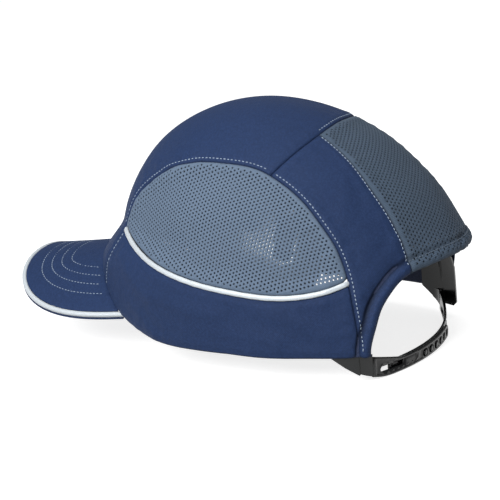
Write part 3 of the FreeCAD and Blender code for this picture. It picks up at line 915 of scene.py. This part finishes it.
# ---------------------------------------------------------------- how the cloth lies

# Directions, phases and lengths of the broad waves.
WAVES = [(rng.normal(size=3), rng.uniform(0, 2 * math.pi), rng.uniform(26, 60)) for _ in range(9)]
WAVE_HEIGHT, CREASE_HEIGHT, FAR_SIDE = 0.14, 1.5, 0.7
# Creases on the left side: points along each, its half width and its height.
CREASES = [
    ([(46, 70, 58), (54, 66, 50), (62, 61, 42), (68, 57, 34)], 3.6, 0.55),
    ([(60, 60, 58), (66, 57, 44), (71, 53, 30)], 6.0, 0.35),
    ([(82, 6, 66), (84, 10, 58), (85, 12, 48)], 3.6, 0.55),
    ([(84, -4, 52), (86, 2, 44), (86, 8, 38)], 4.5, 0.3),
    ([(70, -52, 84), (76, -48, 70), (80, -50, 58)], 6.0, 0.3),
    ([(52, -96, 36), (62, -86, 28), (72, -72, 16), (78, -62, 6)], 3.4, 0.6),
    ([(58, -90, 44), (70, -76, 34), (78, -62, 26)], 3.4, 0.5),
    ([(66, -82, 40), (74, -66, 24), (80, -54, 12)], 3.0, 0.4),
    ([(76, -62, 30), (83, -40, 24), (86, -18, 22)], 4.5, 0.45),
    ([(80, -40, 10), (86, -12, 12), (86, 16, 10)], 5.0, 0.4),
    ([(86, 4, 26), (84, 24, 22), (80, 40, 12)], 4.5, 0.4),
    ([(36, -78, 94), (48, -66, 95), (56, -52, 97)], 3.0, 0.55),
    ([(30, -70, 101), (42, -58, 103), (50, -44, 104)], 3.2, 0.5),
    ([(44, -74, 86), (54, -62, 90), (60, -50, 93)], 2.8, 0.4),
    ([(70, 44, 66), (72, 42, 50), (76, 40, 32)], 4.5, 0.4),
    ([(40, 40, 104), (50, 44, 88), (58, 46, 74)], 4.5, 0.35),
]
FOLD_LINE = np.vstack([SEAMS["arch_corner"], SEAMS["arch_mesh"]])
# Height, distance from the opening's edge and half width.
FOLD_RIDGE, FOLD_VALLEY = (1.0, 3.4, 2.2), (1.7, 7.3, 1.4)
FOLD_MIDDLE, FOLD_FADE_FROM, FOLD_FADE = 0.35, 38, 16


def line_gap(points, line):
    """Distance from each point to the nearest point of a line."""
    return np.linalg.norm(points[:, None] - line[None], axis=2).min(1)


def opening_fold(place_of):
    """The hem turned along the opening: a raised band at the edge and a groove behind it."""
    total = np.zeros(len(place_of))
    near = (place_of[:, 1] > 40) & (place_of[:, 2] < 60)
    for sign in (1, -1):
        gap = line_gap(place_of[near], FOLD_LINE * [sign, 1, 1])
        total[near] += FOLD_RIDGE[0] * bell(gap - FOLD_RIDGE[1], FOLD_RIDGE[2])
        total[near] -= FOLD_VALLEY[0] * bell(gap - FOLD_VALLEY[1], FOLD_VALLEY[2])
    aside = smooth_step((np.abs(place_of[:, 0]) - FOLD_FADE_FROM) / FOLD_FADE)
    return total * (FOLD_MIDDLE + (1 - FOLD_MIDDLE) * aside)


def waves(place_of):
    """How far the cloth stands off its even shape, in mm."""
    total = np.zeros(len(place_of))
    for direction, phase, length in WAVES:
        axis = direction / np.linalg.norm(direction)
        total += np.sin(place_of @ axis * 2 * math.pi / length + phase)
    total = WAVE_HEIGHT * total + opening_fold(place_of)
    for line, wide, high in CREASES:
        line = resample(line, 2.0)
        for sign, share in ((1, 1), (-1, FAR_SIDE)):
            gap = line_gap(place_of, line * [sign, 1, 1])
            total += CREASE_HEIGHT * high * share * bell(gap, wide)
    return total


SEAM_ROLL, SEAM_PUFF, SEWN_CHANNEL, PUCKER = 0.85, 0.28, 0.22, 0.26
SEWN_AT = 2.1


def cloth_depth(at, channel=SEWN_CHANNEL, pucker=PUCKER):
    """Depth of the outer face: rolled in at the seam, with a sewn channel just inside it."""
    depth = SEAM_ROLL * bell(at.edge, 0.75)
    depth -= SEAM_PUFF * bell(at.edge - 4.2, 2.4)
    depth += channel * bell(at.edge - SEWN_AT, 0.55)
    swing = np.sin(at.along * 2 * math.pi / 7.3) + 0.7 * np.sin(at.along * 2 * math.pi / 11.9 + 1.3)
    held = (1 - np.exp(-at.edge / 0.8)) * (1 - bell(at.edge - SEWN_AT, 1.4))
    depth += pucker * swing * np.exp(-at.edge / 7.0) * held
    return depth - waves(at.place)


def groove_shade(at):
    """Darkening in the groove of the turned hem and right at the seams."""
    fold = np.clip(-opening_fold(at.place) / FOLD_VALLEY[0], 0, 1)
    return np.maximum(0.95 * fold, 0.6 * bell(at.edge, 0.5))


CLOTH_BACK, CLOTH_THIN = 1.2, 0.35


def inner_face(at):
    return np.maximum(CLOTH_BACK - np.maximum(waves(at.place), 0), cloth_depth(at) + CLOTH_THIN)


def sew_on(name, mesh, material, slot, pair, outline):
    """Puts a panel on the cap, on both sides if it is one of a pair."""
    finish = (name, mesh, material, "cap", slot)
    cut_size(both(*finish) if pair else [place(*finish)], outline)


FOLD_RINGS = SEAM_RINGS + (4.5, 5.4, 6.1, 6.7, 7.2, 7.7, 8.3, 9.2)


def panel(name, middle, spacing, pair, rings=SEAM_RINGS):
    chart = Dial(middle)
    outline = chart.flatten(OUTLINES[name])
    # groove_shade paints shade into the colour in the hem's groove and along the seams.
    mesh = patch(chart, outline, spacing, cloth_depth, inner_face, rings, painted_shade=groove_shade)
    sew_on(name, mesh, NYLON, "navy_nylon", pair, outline)


HOLE_PITCH, HOLE_RADIUS, HOLE_LIP, HOLE_SHADE = 2.5, 0.52, 0.3, 0.55
HOLE_MARGIN, MESH_GRAIN = 2.2, math.radians(24)
MESH_DEEPEST, MESH_BACK_DEEPEST = 1.75, 2.35


def mesh_panel(name, middle, sag, material, pair):
    """Panel of air mesh with a hexagonal array of real holes, lying back on the shell by sag."""
    chart = Dial(middle)
    outline = chart.flatten(OUTLINES[name])
    grain = np.array([[math.cos(MESH_GRAIN), math.sin(MESH_GRAIN)],
                      [-math.sin(MESH_GRAIN), math.cos(MESH_GRAIN)]])
    centres = hex_grid(outline @ grain.T, HOLE_PITCH, HOLE_MARGIN) @ grain
    holes = circle_rings(centres, HOLE_RADIUS, 8)
    collars = circle_rings(centres, HOLE_RADIUS + HOLE_LIP, 8, math.pi / 8).reshape(-1, 2)
    step = np.array([0, HOLE_PITCH / math.sqrt(3)]) @ grain
    between_holes = np.vstack([centres + step, centres - step])
    between_holes = between_holes[inside(between_holes, outline)]
    between_holes = between_holes[edge_distance(between_holes, outline)[0] > 1.5]

    def lip(at):
        """1 at a hole's rim, 0 beyond its lip."""
        chunks = np.array_split(at.flat, len(at.flat) // 2000 + 1)
        nearest = np.concatenate([line_gap(chunk, centres) for chunk in chunks])
        return np.clip((HOLE_RADIUS + HOLE_LIP - nearest) / HOLE_LIP, 0, 1)

    def face(at):
        depth = cloth_depth(at, channel=0.12) + sag * (1 - bell(at.edge, 8.0))
        return np.minimum(depth, MESH_DEEPEST) + 0.15 * lip(at)

    def back(at):
        thick = 0.8 - 0.35 * (1 - np.exp(-at.edge / 1.5))
        return np.minimum(face(at) + thick, MESH_BACK_DEEPEST)

    # The holes' rims and the hem's groove get painted shade in the cloth's colour.
    mesh = patch(chart, outline, 0, face, back, rings=(0.45, 1.0), holes=holes,
                 extra=np.vstack([collars, between_holes]),
                 painted_shade=lambda at: np.maximum(HOLE_SHADE * lip(at), groove_shade(at)))
    sew_on(name, mesh, material, "air_mesh", pair, outline)


panel("crown_panel", (0, -60, 112), 1.9, False)
panel("side_band", (85, -22, 18), 1.7, True)
panel("rear_quarter", (62, 45, 62), 1.7, True, FOLD_RINGS)
mesh_panel("side_mesh", (80, -18, 66), 1.7, MESH_CLOTH, True)
mesh_panel("rear_mesh", (0, 80, 84), 0.8, SHADED_REAR_MESH_CLOTH, False)

# ---------------------------------------------------------------- side piping

PIPING_STEP, PIPING_HALF = 1.2, 1.42


def piping_tube():
    """The piping under the side window, thin and sunk in at its two ends."""
    path = resample(SEAMS["piping"], PIPING_STEP)
    out = dome_normal(path)
    side = sideways(path, out)
    number = np.arange(len(path))
    ends = np.minimum(number, number[::-1]) * PIPING_STEP
    sink = 1.5 * bell(ends, 1.8)
    path = path - out * (0.05 + sink)[:, None] + out * waves(path)[:, None]
    swell = 1 + 0.03 * np.sin(number * 0.9) - 0.5 * bell(ends, 1.4)
    return sweep(path, out, oval(PIPING_HALF, 1.05, 18, 2.3), swell, side)


both("side_piping", piping_tube(), PIPING, "cap", "reflective_piping")

# ---------------------------------------------------------------- stitches on the crown

def sewn(curve, distance):
    """A row beside a seam, on the cloth's outer face, short of both ends of the seam."""
    row = resample(beside(resample(curve, 1.5), distance), 1.0)
    out = dome_normal(row)
    depth = cloth_depth(Spots(None, np.full(len(row), abs(distance)), 0, row), pucker=0)
    return (row - out * depth[:, None])[2:-2], out[2:-2]


def with_mirror(arch):
    """A line that ends on the middle plane, carried on to the other side."""
    return np.vstack([arch, mirror(arch)[::-1][1:]])


ROWS = [sewn(SEAMS[name], distance) for name, distance in (
    ("front", SEWN_AT), ("side_front", -SEWN_AT), ("side_rear", -SEWN_AT), ("quarter", 1.3))]
ROWS += [(mirror(path), mirror(out)) for path, out in ROWS]
ROWS.append(sewn(SEAMS["cross_mesh"], -SEWN_AT))
stitches("crown_stitching", ROWS, THREAD_PALE, "navy_nylon")
stitches("mesh_hem_stitching", [sewn(with_mirror(SEAMS["arch_mesh"]), -6.4)], THREAD_MESH,
         "air_mesh", proud=0.2)

# ---------------------------------------------------------------- brim

BRIM_HALF, BRIM_ROOT, BRIM_REACH, BRIM_POWER = 65.0, -86.0, 89.0, 3.0
BRIM_ROWS = (12.0, 17.9, 23.9, 30.0)
# Insets of the covers' edges from the brim's outline.
TOP_INSET, UNDER_INSET = 2.4, 0.9


def brim_curve(inset=0.0, step=1.5):
    """The brim's rounded outline in plan, from right to left, moved inwards."""
    turn = np.linspace(math.pi, 0, 721)
    across = np.cos(turn)
    curve = np.column_stack([np.sign(across) * BRIM_HALF * np.abs(across) ** (2 / BRIM_POWER),
                             BRIM_ROOT - BRIM_REACH * np.sin(turn) ** (2 / BRIM_POWER)])
    legs = np.linspace(-50, BRIM_ROOT, 30)[:-1]
    left, right = (np.column_stack([np.full(29, x), y])
                   for x, y in ((-BRIM_HALF, legs), (BRIM_HALF, legs[::-1])))
    curve = resample(np.vstack([left, curve, right]), 0.5)
    moved = curve + left_of(curve) * inset
    if inset > 0:
        gap = edge_distance(moved, curve, closed=False)[0]
        moved = moved[gap > inset - 0.05]
    return resample(moved, step)


def brim_meets(x, depth):
    """Where the brim's surface meets the dome, at each x."""
    low, high = np.full(len(x), -30.0), np.full(len(x), -150.0)
    for _ in range(30):
        middle = (low + high) / 2
        out = outside(np.column_stack([x, middle, brim_height(x, middle)]), depth) > 0
        high, low = np.where(out, middle, high), np.where(out, low, middle)
    return np.column_stack([x, high])


def ahead_of_crown(curve, depth=0.0):
    """The part of a plan curve that lies in front of the crown."""
    return curve[curve[:, 1] < brim_meets(curve[:, 0], depth)[:, 1]]


def brim_field(inset, depth):
    edge = ahead_of_crown(brim_curve(inset), depth)
    x = np.linspace(edge[-1, 0], edge[0, 0], 90)[1:-1]
    return loop(edge, brim_meets(x, depth))


def brim_relief(flat):
    """Sewn rows and the padding between them, as a depth in mm."""
    gap = edge_distance(flat, brim_curve(), closed=False)[0]
    relief = np.zeros(len(flat))
    for row in BRIM_ROWS:
        relief += 0.42 * bell(gap - row, 0.7)
    relief -= 0.12 * np.sin(flat[:, 0] / 7.0) * np.sin(flat[:, 1] / 9.0)
    return relief


def brim_cover(name, field, spacing, top, back, material, slot):
    mesh = patch(Plan(), field, spacing, top, back)
    cut_size([place(name, mesh, material, "cap", slot)], field)


brim_cover("brim_top_cover", brim_field(TOP_INSET, 0.6), 1.5,
           lambda at: brim_relief(at.flat) + 0.5 * bell(at.edge, 0.7) - 0.05,
           lambda at: 0.75 + brim_relief(at.flat) * 0.3, BRIM_CLOTH, "brim_fabric")
brim_cover("brim_under_cover", brim_field(UNDER_INSET, 1.0), 1.8, lambda at: 2.95,
           lambda at: 3.55 - brim_relief(at.flat) * 0.8 - 0.35 * bell(at.edge, 0.7),
           BRIM_LINING, "brim_underside")


def brim_line(inset, lift, depth):
    """A line along the brim's edge and its outward directions, as far as the crown."""
    flat = ahead_of_crown(brim_curve(inset, 1.2), depth)
    path = np.column_stack([flat, brim_height(flat[:, 0], flat[:, 1]) + lift])
    slope = np.column_stack([flat[:, 0] / BRIM_ARCH, np.full(len(flat), -BRIM_SLOPE),
                             np.ones(len(flat))])
    return path, unit(slope)


BEAD = sweep(*brim_line(1.45, -1.35, 2.0), oval(PIPING_HALF, 1.6, 20, 2.4))
ROLL = sweep(*brim_line(1.6, -3.15, 2.0), oval(1.3, 0.5, 16, 2.2))
place("brim_piping", BEAD, PIPING, "cap", "reflective_piping")
place("brim_edge_roll", ROLL, BRIM_LINING, "cap", "brim_underside")
TOP_ROWS = [brim_line(row, -0.36, -1.0) for row in BRIM_ROWS]
UNDER_ROWS = [(path, -out) for path, out in (brim_line(row, -3.25, -1.0) for row in BRIM_ROWS)]
stitches("brim_stitching", TOP_ROWS, THREAD_BRIM, "brim_fabric", proud=0.16)
stitches("brim_under_stitching", UNDER_ROWS, THREAD_BRIM, "brim_underside", proud=0.16)


def finish_node(name, material):
    """A CAD node that stays in view, with a finished material."""
    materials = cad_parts[name].data.materials
    materials.clear()
    materials.append(material)


finish_node("brim_board", BOARD_PLASTIC)

# ---------------------------------------------------------------- inner tapes

def band_outline(degrees, low, high):
    """Outline of a band round the front of the dome, in the Wrap chart, between two lifts
    over the hem and as many degrees to each side."""
    lower, upper = (Wrap().flatten(hem_points(-90 - degrees, -90 + degrees, 1.6, lift))
                    for lift in (low, high))
    levels = np.linspace(lower[-1, 1], upper[-1, 1], 7)[1:-1]
    left = np.column_stack([np.full(5, lower[-1, 0]), levels])
    return loop(lower, left, upper[::-1], left[::-1] * [-1, 1])


HEM_DEGREES = 125.0
HEM_TAPE = patch(Wrap(), band_outline(HEM_DEGREES, 0.4, 14.0), 1.8, lambda at: 1.45,
                 lambda at: 2.1 - 0.35 * bell(at.edge, 0.6), rings=(0.5, 1.2))
place("hem_tape", HEM_TAPE, TAPE, "cap", "inner_tape")
TAPE_TOP, TAPE_BOTTOMS, TAPE_STEP = 1.5, (1.8, 2.05, 2.1, 2.1, 2.1, 2.05, 1.8), 1.5


def ribbon(curve, offsets):
    """Tape along a curve on the dome, on seven lines beside it, thinner at its two edges."""
    lines = [beside(curve, offset) for offset in offsets]
    count = min(len(resample(line, TAPE_STEP)) for line in lines)
    grid = [at_lengths(np.linspace(0, lengths(line)[-1], count), lengths(line), line)
            for line in lines]
    top = np.vstack([on_dome(g, TAPE_TOP) for g in grid])
    bottom = np.vstack([on_dome(g, depth) for g, depth in zip(grid, TAPE_BOTTOMS)])
    triangles = []
    for j in range(len(lines) - 1):
        for a in range(j * count, (j + 1) * count - 1):
            triangles += [(a, a + 1, a + count + 1), (a, a + count + 1, a + count)]
    triangles = outwards(np.array(triangles), top, Dial)
    across = np.repeat(np.linspace(0, 10, len(lines)), count)
    run = np.tile(np.arange(count) * TAPE_STEP, len(lines))
    return solid_mesh(top, bottom, triangles, np.column_stack([run, across]))


ARCH = np.vstack([SEAMS["arch_corner"][:-1], SEAMS["arch_mesh"]])
BINDING = ribbon(with_mirror(ARCH[ARCH[:, 2] > 14.5]), (-0.5, -1.2, -3.0, -5.5, -8.0, -9.4, -10.0))
place("opening_binding", BINDING, TAPE, "cap", "inner_tape")
SIDE_LINE = np.vstack([SEAMS["side_front"], SEAMS["side_rear"][1:]])
SIDE_LINE = SIDE_LINE[(SIDE_LINE[:, 2] > 46) & (SIDE_LINE[:, 1] > -80)]
both("seam_tape", ribbon(SIDE_LINE, (-4.5, -3.8, -2.0, 0.0, 2.0, 3.8, 4.5)), TAPE, "cap",
     "inner_tape")

# ---------------------------------------------------------------- impact shell

SHELL_TOP, SHELL_BOTTOM = 2.6, 5.1
SHELL_LIFT, SHELL_REAR = 14.5, 54.0


def shell_limit(x, y):
    """Height of the shell's edge: over the hem in front, higher behind."""
    rise = smooth_step((y - 24.0) / 20.0)
    return (hem_height(x, y) + SHELL_LIFT) * (1 - rise) + SHELL_REAR * rise


def obround_ring(u, v, wide, tall, steps=10):
    """Ring of points round an upright slot."""
    radius, straight = wide / 2, (tall - wide) / 2
    up = np.linspace(0, math.pi, steps)
    top = np.column_stack([np.cos(up), np.sin(up)]) * radius + [0, straight]
    side = np.linspace(straight, -straight, 8)[1:-1]
    left = np.column_stack([np.full(6, -radius), side])
    ring = np.vstack([top, left, -top, -left])
    return ring + [u, v]


def impact_shell():
    chart = Dial((0, -10, 130))
    outline = chart.flatten(line_round(-270, 90, 1.6, shell_limit, 20.0, 0.3, 80))[:-1]
    vents = [from_side(obround_ring(y, 66.0, 8.0, 26.0), sign)
             for y in (-58.0, -40.0, 18.0, 34.0) for sign in (1, -1)]
    vents += [from_above(obround_ring(x, -12.0, 8.0, 41.6)) for x in (-47.0, 47.0)]
    vents = [chart.flatten(ring) for ring in vents]
    collars = [ring + unit(ring - ring.mean(0)) * grow for ring in vents for grow in (0.7, 1.6)]
    grid = clear_of(hex_grid(outline, 2.6, 3.0), vents, 2.2)

    def rounding(at):
        return 0.55 * bell(rings_distance(at.flat, vents, at.edge), 0.5)

    return patch(chart, outline, 0, lambda at: SHELL_TOP + rounding(at),
                 lambda at: SHELL_BOTTOM - rounding(at), rings=(0.6, 1.6), holes=vents,
                 extra=np.vstack(collars + [grid]))


place("impact_shell", impact_shell(), SHELL_PLASTIC, "insert", "impact_shell")

# ---------------------------------------------------------------- pads and sweatband

PAD_TOP = 5.45


def pad_faces(bottom, swell, round_over=2.4):
    """Rules for the two depths of a pad: rounded over at its edge, swelling below."""
    middle = (PAD_TOP + bottom) / 2

    def rounded(at):
        edge = 1 - np.sqrt(1 - np.clip(1 - at.edge / round_over, 0, 1) ** 2)
        return np.clip(edge, 0, 0.96)

    def lower(at):
        crown = swell * (1 - np.exp(-at.edge / 6.0))
        return bottom - swell + crown - (bottom - middle) * rounded(at)

    return lambda at: PAD_TOP + (middle - PAD_TOP) * rounded(at), lower


def rounded_box(chart, low_u, high_u, low_v, high_v, radius, view):
    """Outline of a round-cornered box drawn in a view, in the chart."""
    near_u, far_u, near_v, far_v = low_u + radius, high_u - radius, low_v + radius, high_v - radius
    points = []
    for u, v, start in ((far_u, far_v, 0), (near_u, far_v, 90), (near_u, near_v, 180),
                        (far_u, near_v, 270)):
        turn = np.radians(np.linspace(start, start + 90, 9))
        points.append(np.column_stack([u + radius * np.cos(turn), v + radius * np.sin(turn)]))
    ring = np.vstack(points + [points[0][:1]])
    return chart.flatten(view(resample(ring, 1.5)[:-1]))


def foam_pad(middle, outline_of, bottom=10.2, swell=1.2):
    """Pad under the shell, round a direction from HUB."""
    chart = Dial(middle)
    return patch(chart, outline_of(chart), 1.8, *pad_faces(bottom, swell),
                 rings=(0.25, 0.7, 1.3, 2.1))


def crown_outline(chart):
    """Outline of the crown's pad: two half circles joined by straight sides."""
    turn = full_turn(200)
    ring = np.column_stack([np.cos(turn) * 31, np.sin(turn) * 31])
    ring[:, 1] += np.sign(ring[:, 1]) * 15
    ring = resample(np.vstack([ring, ring[:1]]), 1.6)[:-1]
    return chart.flatten(from_above(ring + [0, -12.0]))


FOAM = (PAD_CLOTH, "insert", "foam_pad")
PADS = both("pad", foam_pad((80, -6, 62), lambda c: rounded_box(c, -28, 16, 44, 80, 7, from_side)),
            *FOAM)
for name, middle, outline_of, shape in (
        ("pad_front", (0, -80, 93), lambda c: rounded_box(c, -38, 38, 82, 104, 7, from_front), ()),
        ("pad_rear", (0, 70, 78), lambda c: rounded_box(c, -38, 38, 60, 94, 8, from_behind), ()),
        ("pad_crown", (0, -12, 125), crown_outline, (12.2, 1.4))):
    PADS.append(place(name, foam_pad(middle, outline_of, *shape), *FOAM))
# The sweatband runs round the front and a little way behind the ears.
SWEATBAND_DEGREES = 90 + math.degrees(math.asin(24.0 / 100))
SWEATBAND = patch(Wrap(), band_outline(SWEATBAND_DEGREES, 15.5, 37.5), 1.8,
                  *pad_faces(8.3, 0.5, 1.6), rings=(0.25, 0.7, 1.3))
place("sweatband", SWEATBAND, TOWEL, "insert", "sweatband")

# ---------------------------------------------------------------- rear strap

# The bands are arcs about STRAP_CENTRE on the middle plane, in the frame's plan.
STRAP_THICK, STRAP_CENTRE = 1.6, -68.0
BAND_START, BAND_TIP, SLOT_START = 0.3, 3.2, 5.0
SLOT_LONG, SLOT_WIDE, SLOT_LEVEL = 34.0, 3.0, -10.2
HOLE_LONG, HOLE_WIDE, HOLE_LEVEL = 6.0, 4.0, -11.4
HINGES = {"left": (63.565, 61.211), "right": (-68.425, 56.427)}
RADII = {"left": 144.0, "right": 142.0}
TIPS = {"left": 27.0, "right": 50.0}
PEG_COUNT, PEG_PITCH, PEG_RADIUS, PEG_SIDES = 6, 8.0, 1.6, 20
OVER_BAND = [(-80.0, -7.8), (40.0, -7.8), (54.0, -4.4), (68.0, -0.8), (80.0, -0.6)]
UNDER_BAND = [(-80.0, -15.0), (54.0, -15.0), (61.0, -14.0), (68.0, -11.8), (80.0, -9.0)]


def band_edge(edge, x):
    """Height of a band's upper or lower edge at a distance from the middle plane."""
    x_of, z_of = np.array(edge).T
    soft = [np.interp(x + shift, x_of, z_of) for shift in np.linspace(-4, 4, 9)]
    return np.mean(soft, axis=0)


class Arc:
    """Chart of a strap band: length along its arc from the hinge, and height."""

    def __init__(self, side):
        self.sign = 1 if side == "left" else -1
        self.radius = RADII[side]
        x, y = HINGES[side]
        self.start = math.atan2(y - STRAP_CENTRE, abs(x))

    def lift(self, flat, depth=0.0):
        angle = self.start + flat[:, 0] / self.radius
        reach = self.radius + STRAP_THICK / 2 - depth
        return np.column_stack([self.sign * reach * np.cos(angle),
                                STRAP_CENTRE + reach * np.sin(angle), flat[:, 1]])

    def flatten(self, points):
        return points[:, :2]

    def outward(self, point):
        return point - np.array([0, STRAP_CENTRE, point[2]])

    def along(self, angle):
        return (angle - self.start) * self.radius

    def peg_angle(self, number):
        """Where a peg's hole is, as an angle about the arc's centre."""
        return math.pi / 2 + 0.012 + PEG_PITCH / self.radius * (number - 2.5)


def lying_slot(u, v, wide, tall):
    return obround_ring(0, 0, tall, wide)[:, ::-1] * [1, -1] + [u, v]


def strap_outline(chart, tip_reach):
    """Outline of a band from its hinge to its rounded tip, in its chart."""
    last = chart.along(math.pi / 2 + math.asin(tip_reach / chart.radius))
    run = np.arange(BAND_START, last - BAND_TIP, 1.0)
    x = chart.radius * np.cos(chart.start + run / chart.radius)
    lower, upper = (np.column_stack([run, band_edge(edge, x)]) for edge in (UNDER_BAND, OVER_BAND))
    turn = np.radians(np.linspace(-90, 90, 21))
    level, half = (lower[-1, 1] + upper[-1, 1]) / 2, (upper[-1, 1] - lower[-1, 1]) / 2
    end = np.column_stack([last - BAND_TIP + BAND_TIP * np.cos(turn), level + half * np.sin(turn)])
    levels = np.linspace(upper[0, 1], lower[0, 1], 10)[1:-1]
    return loop(lower, end, upper[::-1], np.column_stack([np.full(8, BAND_START), levels]))


def band_mesh(side):
    """A band with its long slot, and on the left the holes that the pegs go through."""
    chart = Arc(side)
    outline = strap_outline(chart, TIPS[side])
    holes = [lying_slot(SLOT_START + SLOT_LONG / 2, SLOT_LEVEL, SLOT_LONG, SLOT_WIDE)]
    if side == "left":
        holes += [lying_slot(chart.along(chart.peg_angle(number)), HOLE_LEVEL, HOLE_LONG, HOLE_WIDE)
                  for number in range(PEG_COUNT)]
    collars = []
    for number, ring in enumerate(holes):
        middle = ring.mean(0)
        half_run = (SLOT_LONG - SLOT_WIDE if number == 0 else HOLE_LONG - HOLE_WIDE) / 2
        spine = np.clip(ring[:, 0], middle[0] - half_run, middle[0] + half_run)
        away = unit(ring - np.column_stack([spine, np.full(len(ring), middle[1])]))
        collars += [ring + away * grow for grow in (0.2, 0.45, 0.8)]
    grid = clear_of(hex_grid(outline, 0.9, 1.5), holes, 1.1)

    def bevel(edge, hole_gap):
        return 0.35 * bell(edge, 0.28) + 0.3 * bell(hole_gap, 0.22)

    def top(at):
        hole_gap = rings_distance(at.flat, holes, 99.0)
        field = 0.42 * smooth_step((at.edge - 1.0) / 0.5) * smooth_step((hole_gap - 0.7) / 0.4)
        return bevel(at.edge, hole_gap) + field - 0.1

    def bottom(at):
        return STRAP_THICK + 0.05 - bevel(at.edge, rings_distance(at.flat, holes, 99.0))

    return patch(chart, outline, 0, top, bottom, rings=(0.2, 0.5, 0.9, 1.2), holes=holes,
                 extra=np.vstack(collars + [grid]))


def pivot_mesh(side):
    """Round root of a band, which turns in its base."""
    x, y = HINGES[side]
    low, high = band_edge(UNDER_BAND, abs(x)), band_edge(OVER_BAND, abs(x))
    levels = np.array([low, low + 0.25, high - 0.25, high])
    path = np.column_stack([np.full(4, x), np.full(4, y), levels])
    side_way, out = np.tile([1.0, 0, 0], (4, 1)), np.tile([0, 1.0, 0], (4, 1))
    return sweep(path, out, oval(0.8, 0.8, 20), np.array([0.7, 1.0, 1.0, 0.7]), side_way)


def peg_mesh(chart):
    """The row of snap pegs on the right band's outer face."""
    points, faces = [], []
    neck, head = PEG_RADIUS - 0.25, PEG_RADIUS
    profile = [(head, -0.4), (head, 0.25), (neck, 0.45), (neck, 1.9), (head, 2.1), (head, 2.35),
               (head - 0.5, 2.6)]
    turns = full_turn(PEG_SIDES)
    for number in range(PEG_COUNT):
        angle = math.pi - chart.peg_angle(number)
        out = np.array([-math.cos(angle), math.sin(angle), 0])
        foot = np.array([0, STRAP_CENTRE, HOLE_LEVEL]) + out * chart.radius
        side, up = np.array([-out[1], out[0], 0]), np.array([0, 0, 1.0])
        faces += tube_faces(len(profile), PEG_SIDES, len(points) * PEG_SIDES)
        for reach, lift in profile:
            points.append(foot + out * (STRAP_THICK / 2 + lift)
                          + (np.cos(turns)[:, None] * side + np.sin(turns)[:, None] * up) * reach)
    return build(np.vstack(points), faces)


def strap_piece(name, mesh, side):
    place(name, mesh, STRAP_PLASTIC, "strap_" + side, "strap_plastic")


for side in ("left", "right"):
    strap_piece("strap_band_" + side, band_mesh(side), side)
strap_piece("strap_pegs", peg_mesh(Arc("right")), "right")
for side in ("left", "right"):
    strap_piece("strap_pivot_" + side, pivot_mesh(side), side)
    finish_node("strap_base_" + side, STRAP_PLASTIC)

# ---------------------------------------------------------------- studio

FLOOR, FLOOR_HALF = -15.4, 6000.0
TARGET = np.array([0.0, 0.0, 60.0])
AZIMUTH, ELEVATION, ROLL, AWAY = 112.6, 12.6, -2.25, 1042.0
FOCAL, SENSOR = 131.06, 36.0
SHIFT_X, SHIFT_Y = -0.1144, -0.0736
FLOOR_GLOW, SKY_LIGHT, SKY_SEEN = 0.80, 0.29, 1.0
# Place in metres, size and power of each lamp.
LAMPS = {"key": ((1.30, -0.18, 0.80), 0.58, 28.0), "strip": ((1.18, -0.84, 0.46), 0.25, 1.0),
         "top": ((0.3, 0.0, 1.6), 1.2, 15.0)}


def lay_floor(scene):
    """Pale floor that gives no coloured light back to the object."""
    paint = Nodes("floor_white").finish((0.5, 0.5, 0.5), 0.9, None, Emission_Color=(1, 1, 1, 1),
                                        Emission_Strength=FLOOR_GLOW)
    corners = [(x * FLOOR_HALF, y * FLOOR_HALF, FLOOR)
               for x, y in ((-1, -1), (1, -1), (1, 1), (-1, 1))]
    mesh = bpy.data.meshes.new("floor")
    mesh.from_pydata((np.array(corners) * MM).tolist(), [], [(0, 1, 2, 3)])
    mesh.materials.append(paint)
    plane = bpy.data.objects.new("floor", mesh)
    scene.collection.objects.link(plane)
    plane.visible_diffuse = False


def light(scene):
    """An even sky that looks white behind the object, and three soft lamps."""

    world = bpy.data.worlds.new("studio")
    world.use_nodes = True
    sky = world.node_tree.nodes["Background"].inputs
    sky["Color"].default_value = (1, 1, 1, 1)
    seen = world.node_tree.nodes.new("ShaderNodeLightPath")
    level = world.node_tree.nodes.new("ShaderNodeMapRange")
    level.inputs["To Min"].default_value = SKY_LIGHT
    level.inputs["To Max"].default_value = SKY_SEEN
    world.node_tree.links.new(seen.outputs["Is Camera Ray"], level.inputs["Value"])
    world.node_tree.links.new(level.outputs["Result"], sky["Strength"])
    scene.world = world
    for name, (spot, size, power) in LAMPS.items():
        source = bpy.data.lights.new(name, "AREA")
        source.size, source.energy = size, power
        lamp = bpy.data.objects.new(name, source)
        lamp.location = spot
        aim = Vector(TARGET * MM) - Vector(spot)
        lamp.rotation_euler = aim.to_track_quat("-Z", "Y").to_euler()
        scene.collection.objects.link(lamp)


def set_camera(scene):
    azimuth, elevation, roll = (math.radians(v) for v in (AZIMUTH, ELEVATION, ROLL))
    level = math.cos(elevation)
    away = Vector((math.sin(azimuth) * level, -math.cos(azimuth) * level, math.sin(elevation)))
    right = Vector((math.cos(azimuth), math.sin(azimuth), 0))
    up = away.cross(right)
    turned = right * math.cos(roll) + up * math.sin(roll)
    upright = up * math.cos(roll) - right * math.sin(roll)
    lens = bpy.data.cameras.new("camera")
    lens.lens, lens.sensor_width = FOCAL, SENSOR
    lens.shift_x, lens.shift_y = SHIFT_X, SHIFT_Y
    lens.clip_end = 50.0
    camera = bpy.data.objects.new("camera", lens)
    matrix = [[turned[i], upright[i], away[i], (TARGET[i] + AWAY * away[i]) * MM] for i in range(3)]
    camera.matrix_world = Matrix(matrix + [[0, 0, 0, 1]])
    scene.collection.objects.link(camera)
    scene.camera = camera


lay_floor(bpy.context.scene)
light(bpy.context.scene)
set_camera(bpy.context.scene)
bpy.context.scene.view_settings.view_transform = "Standard"
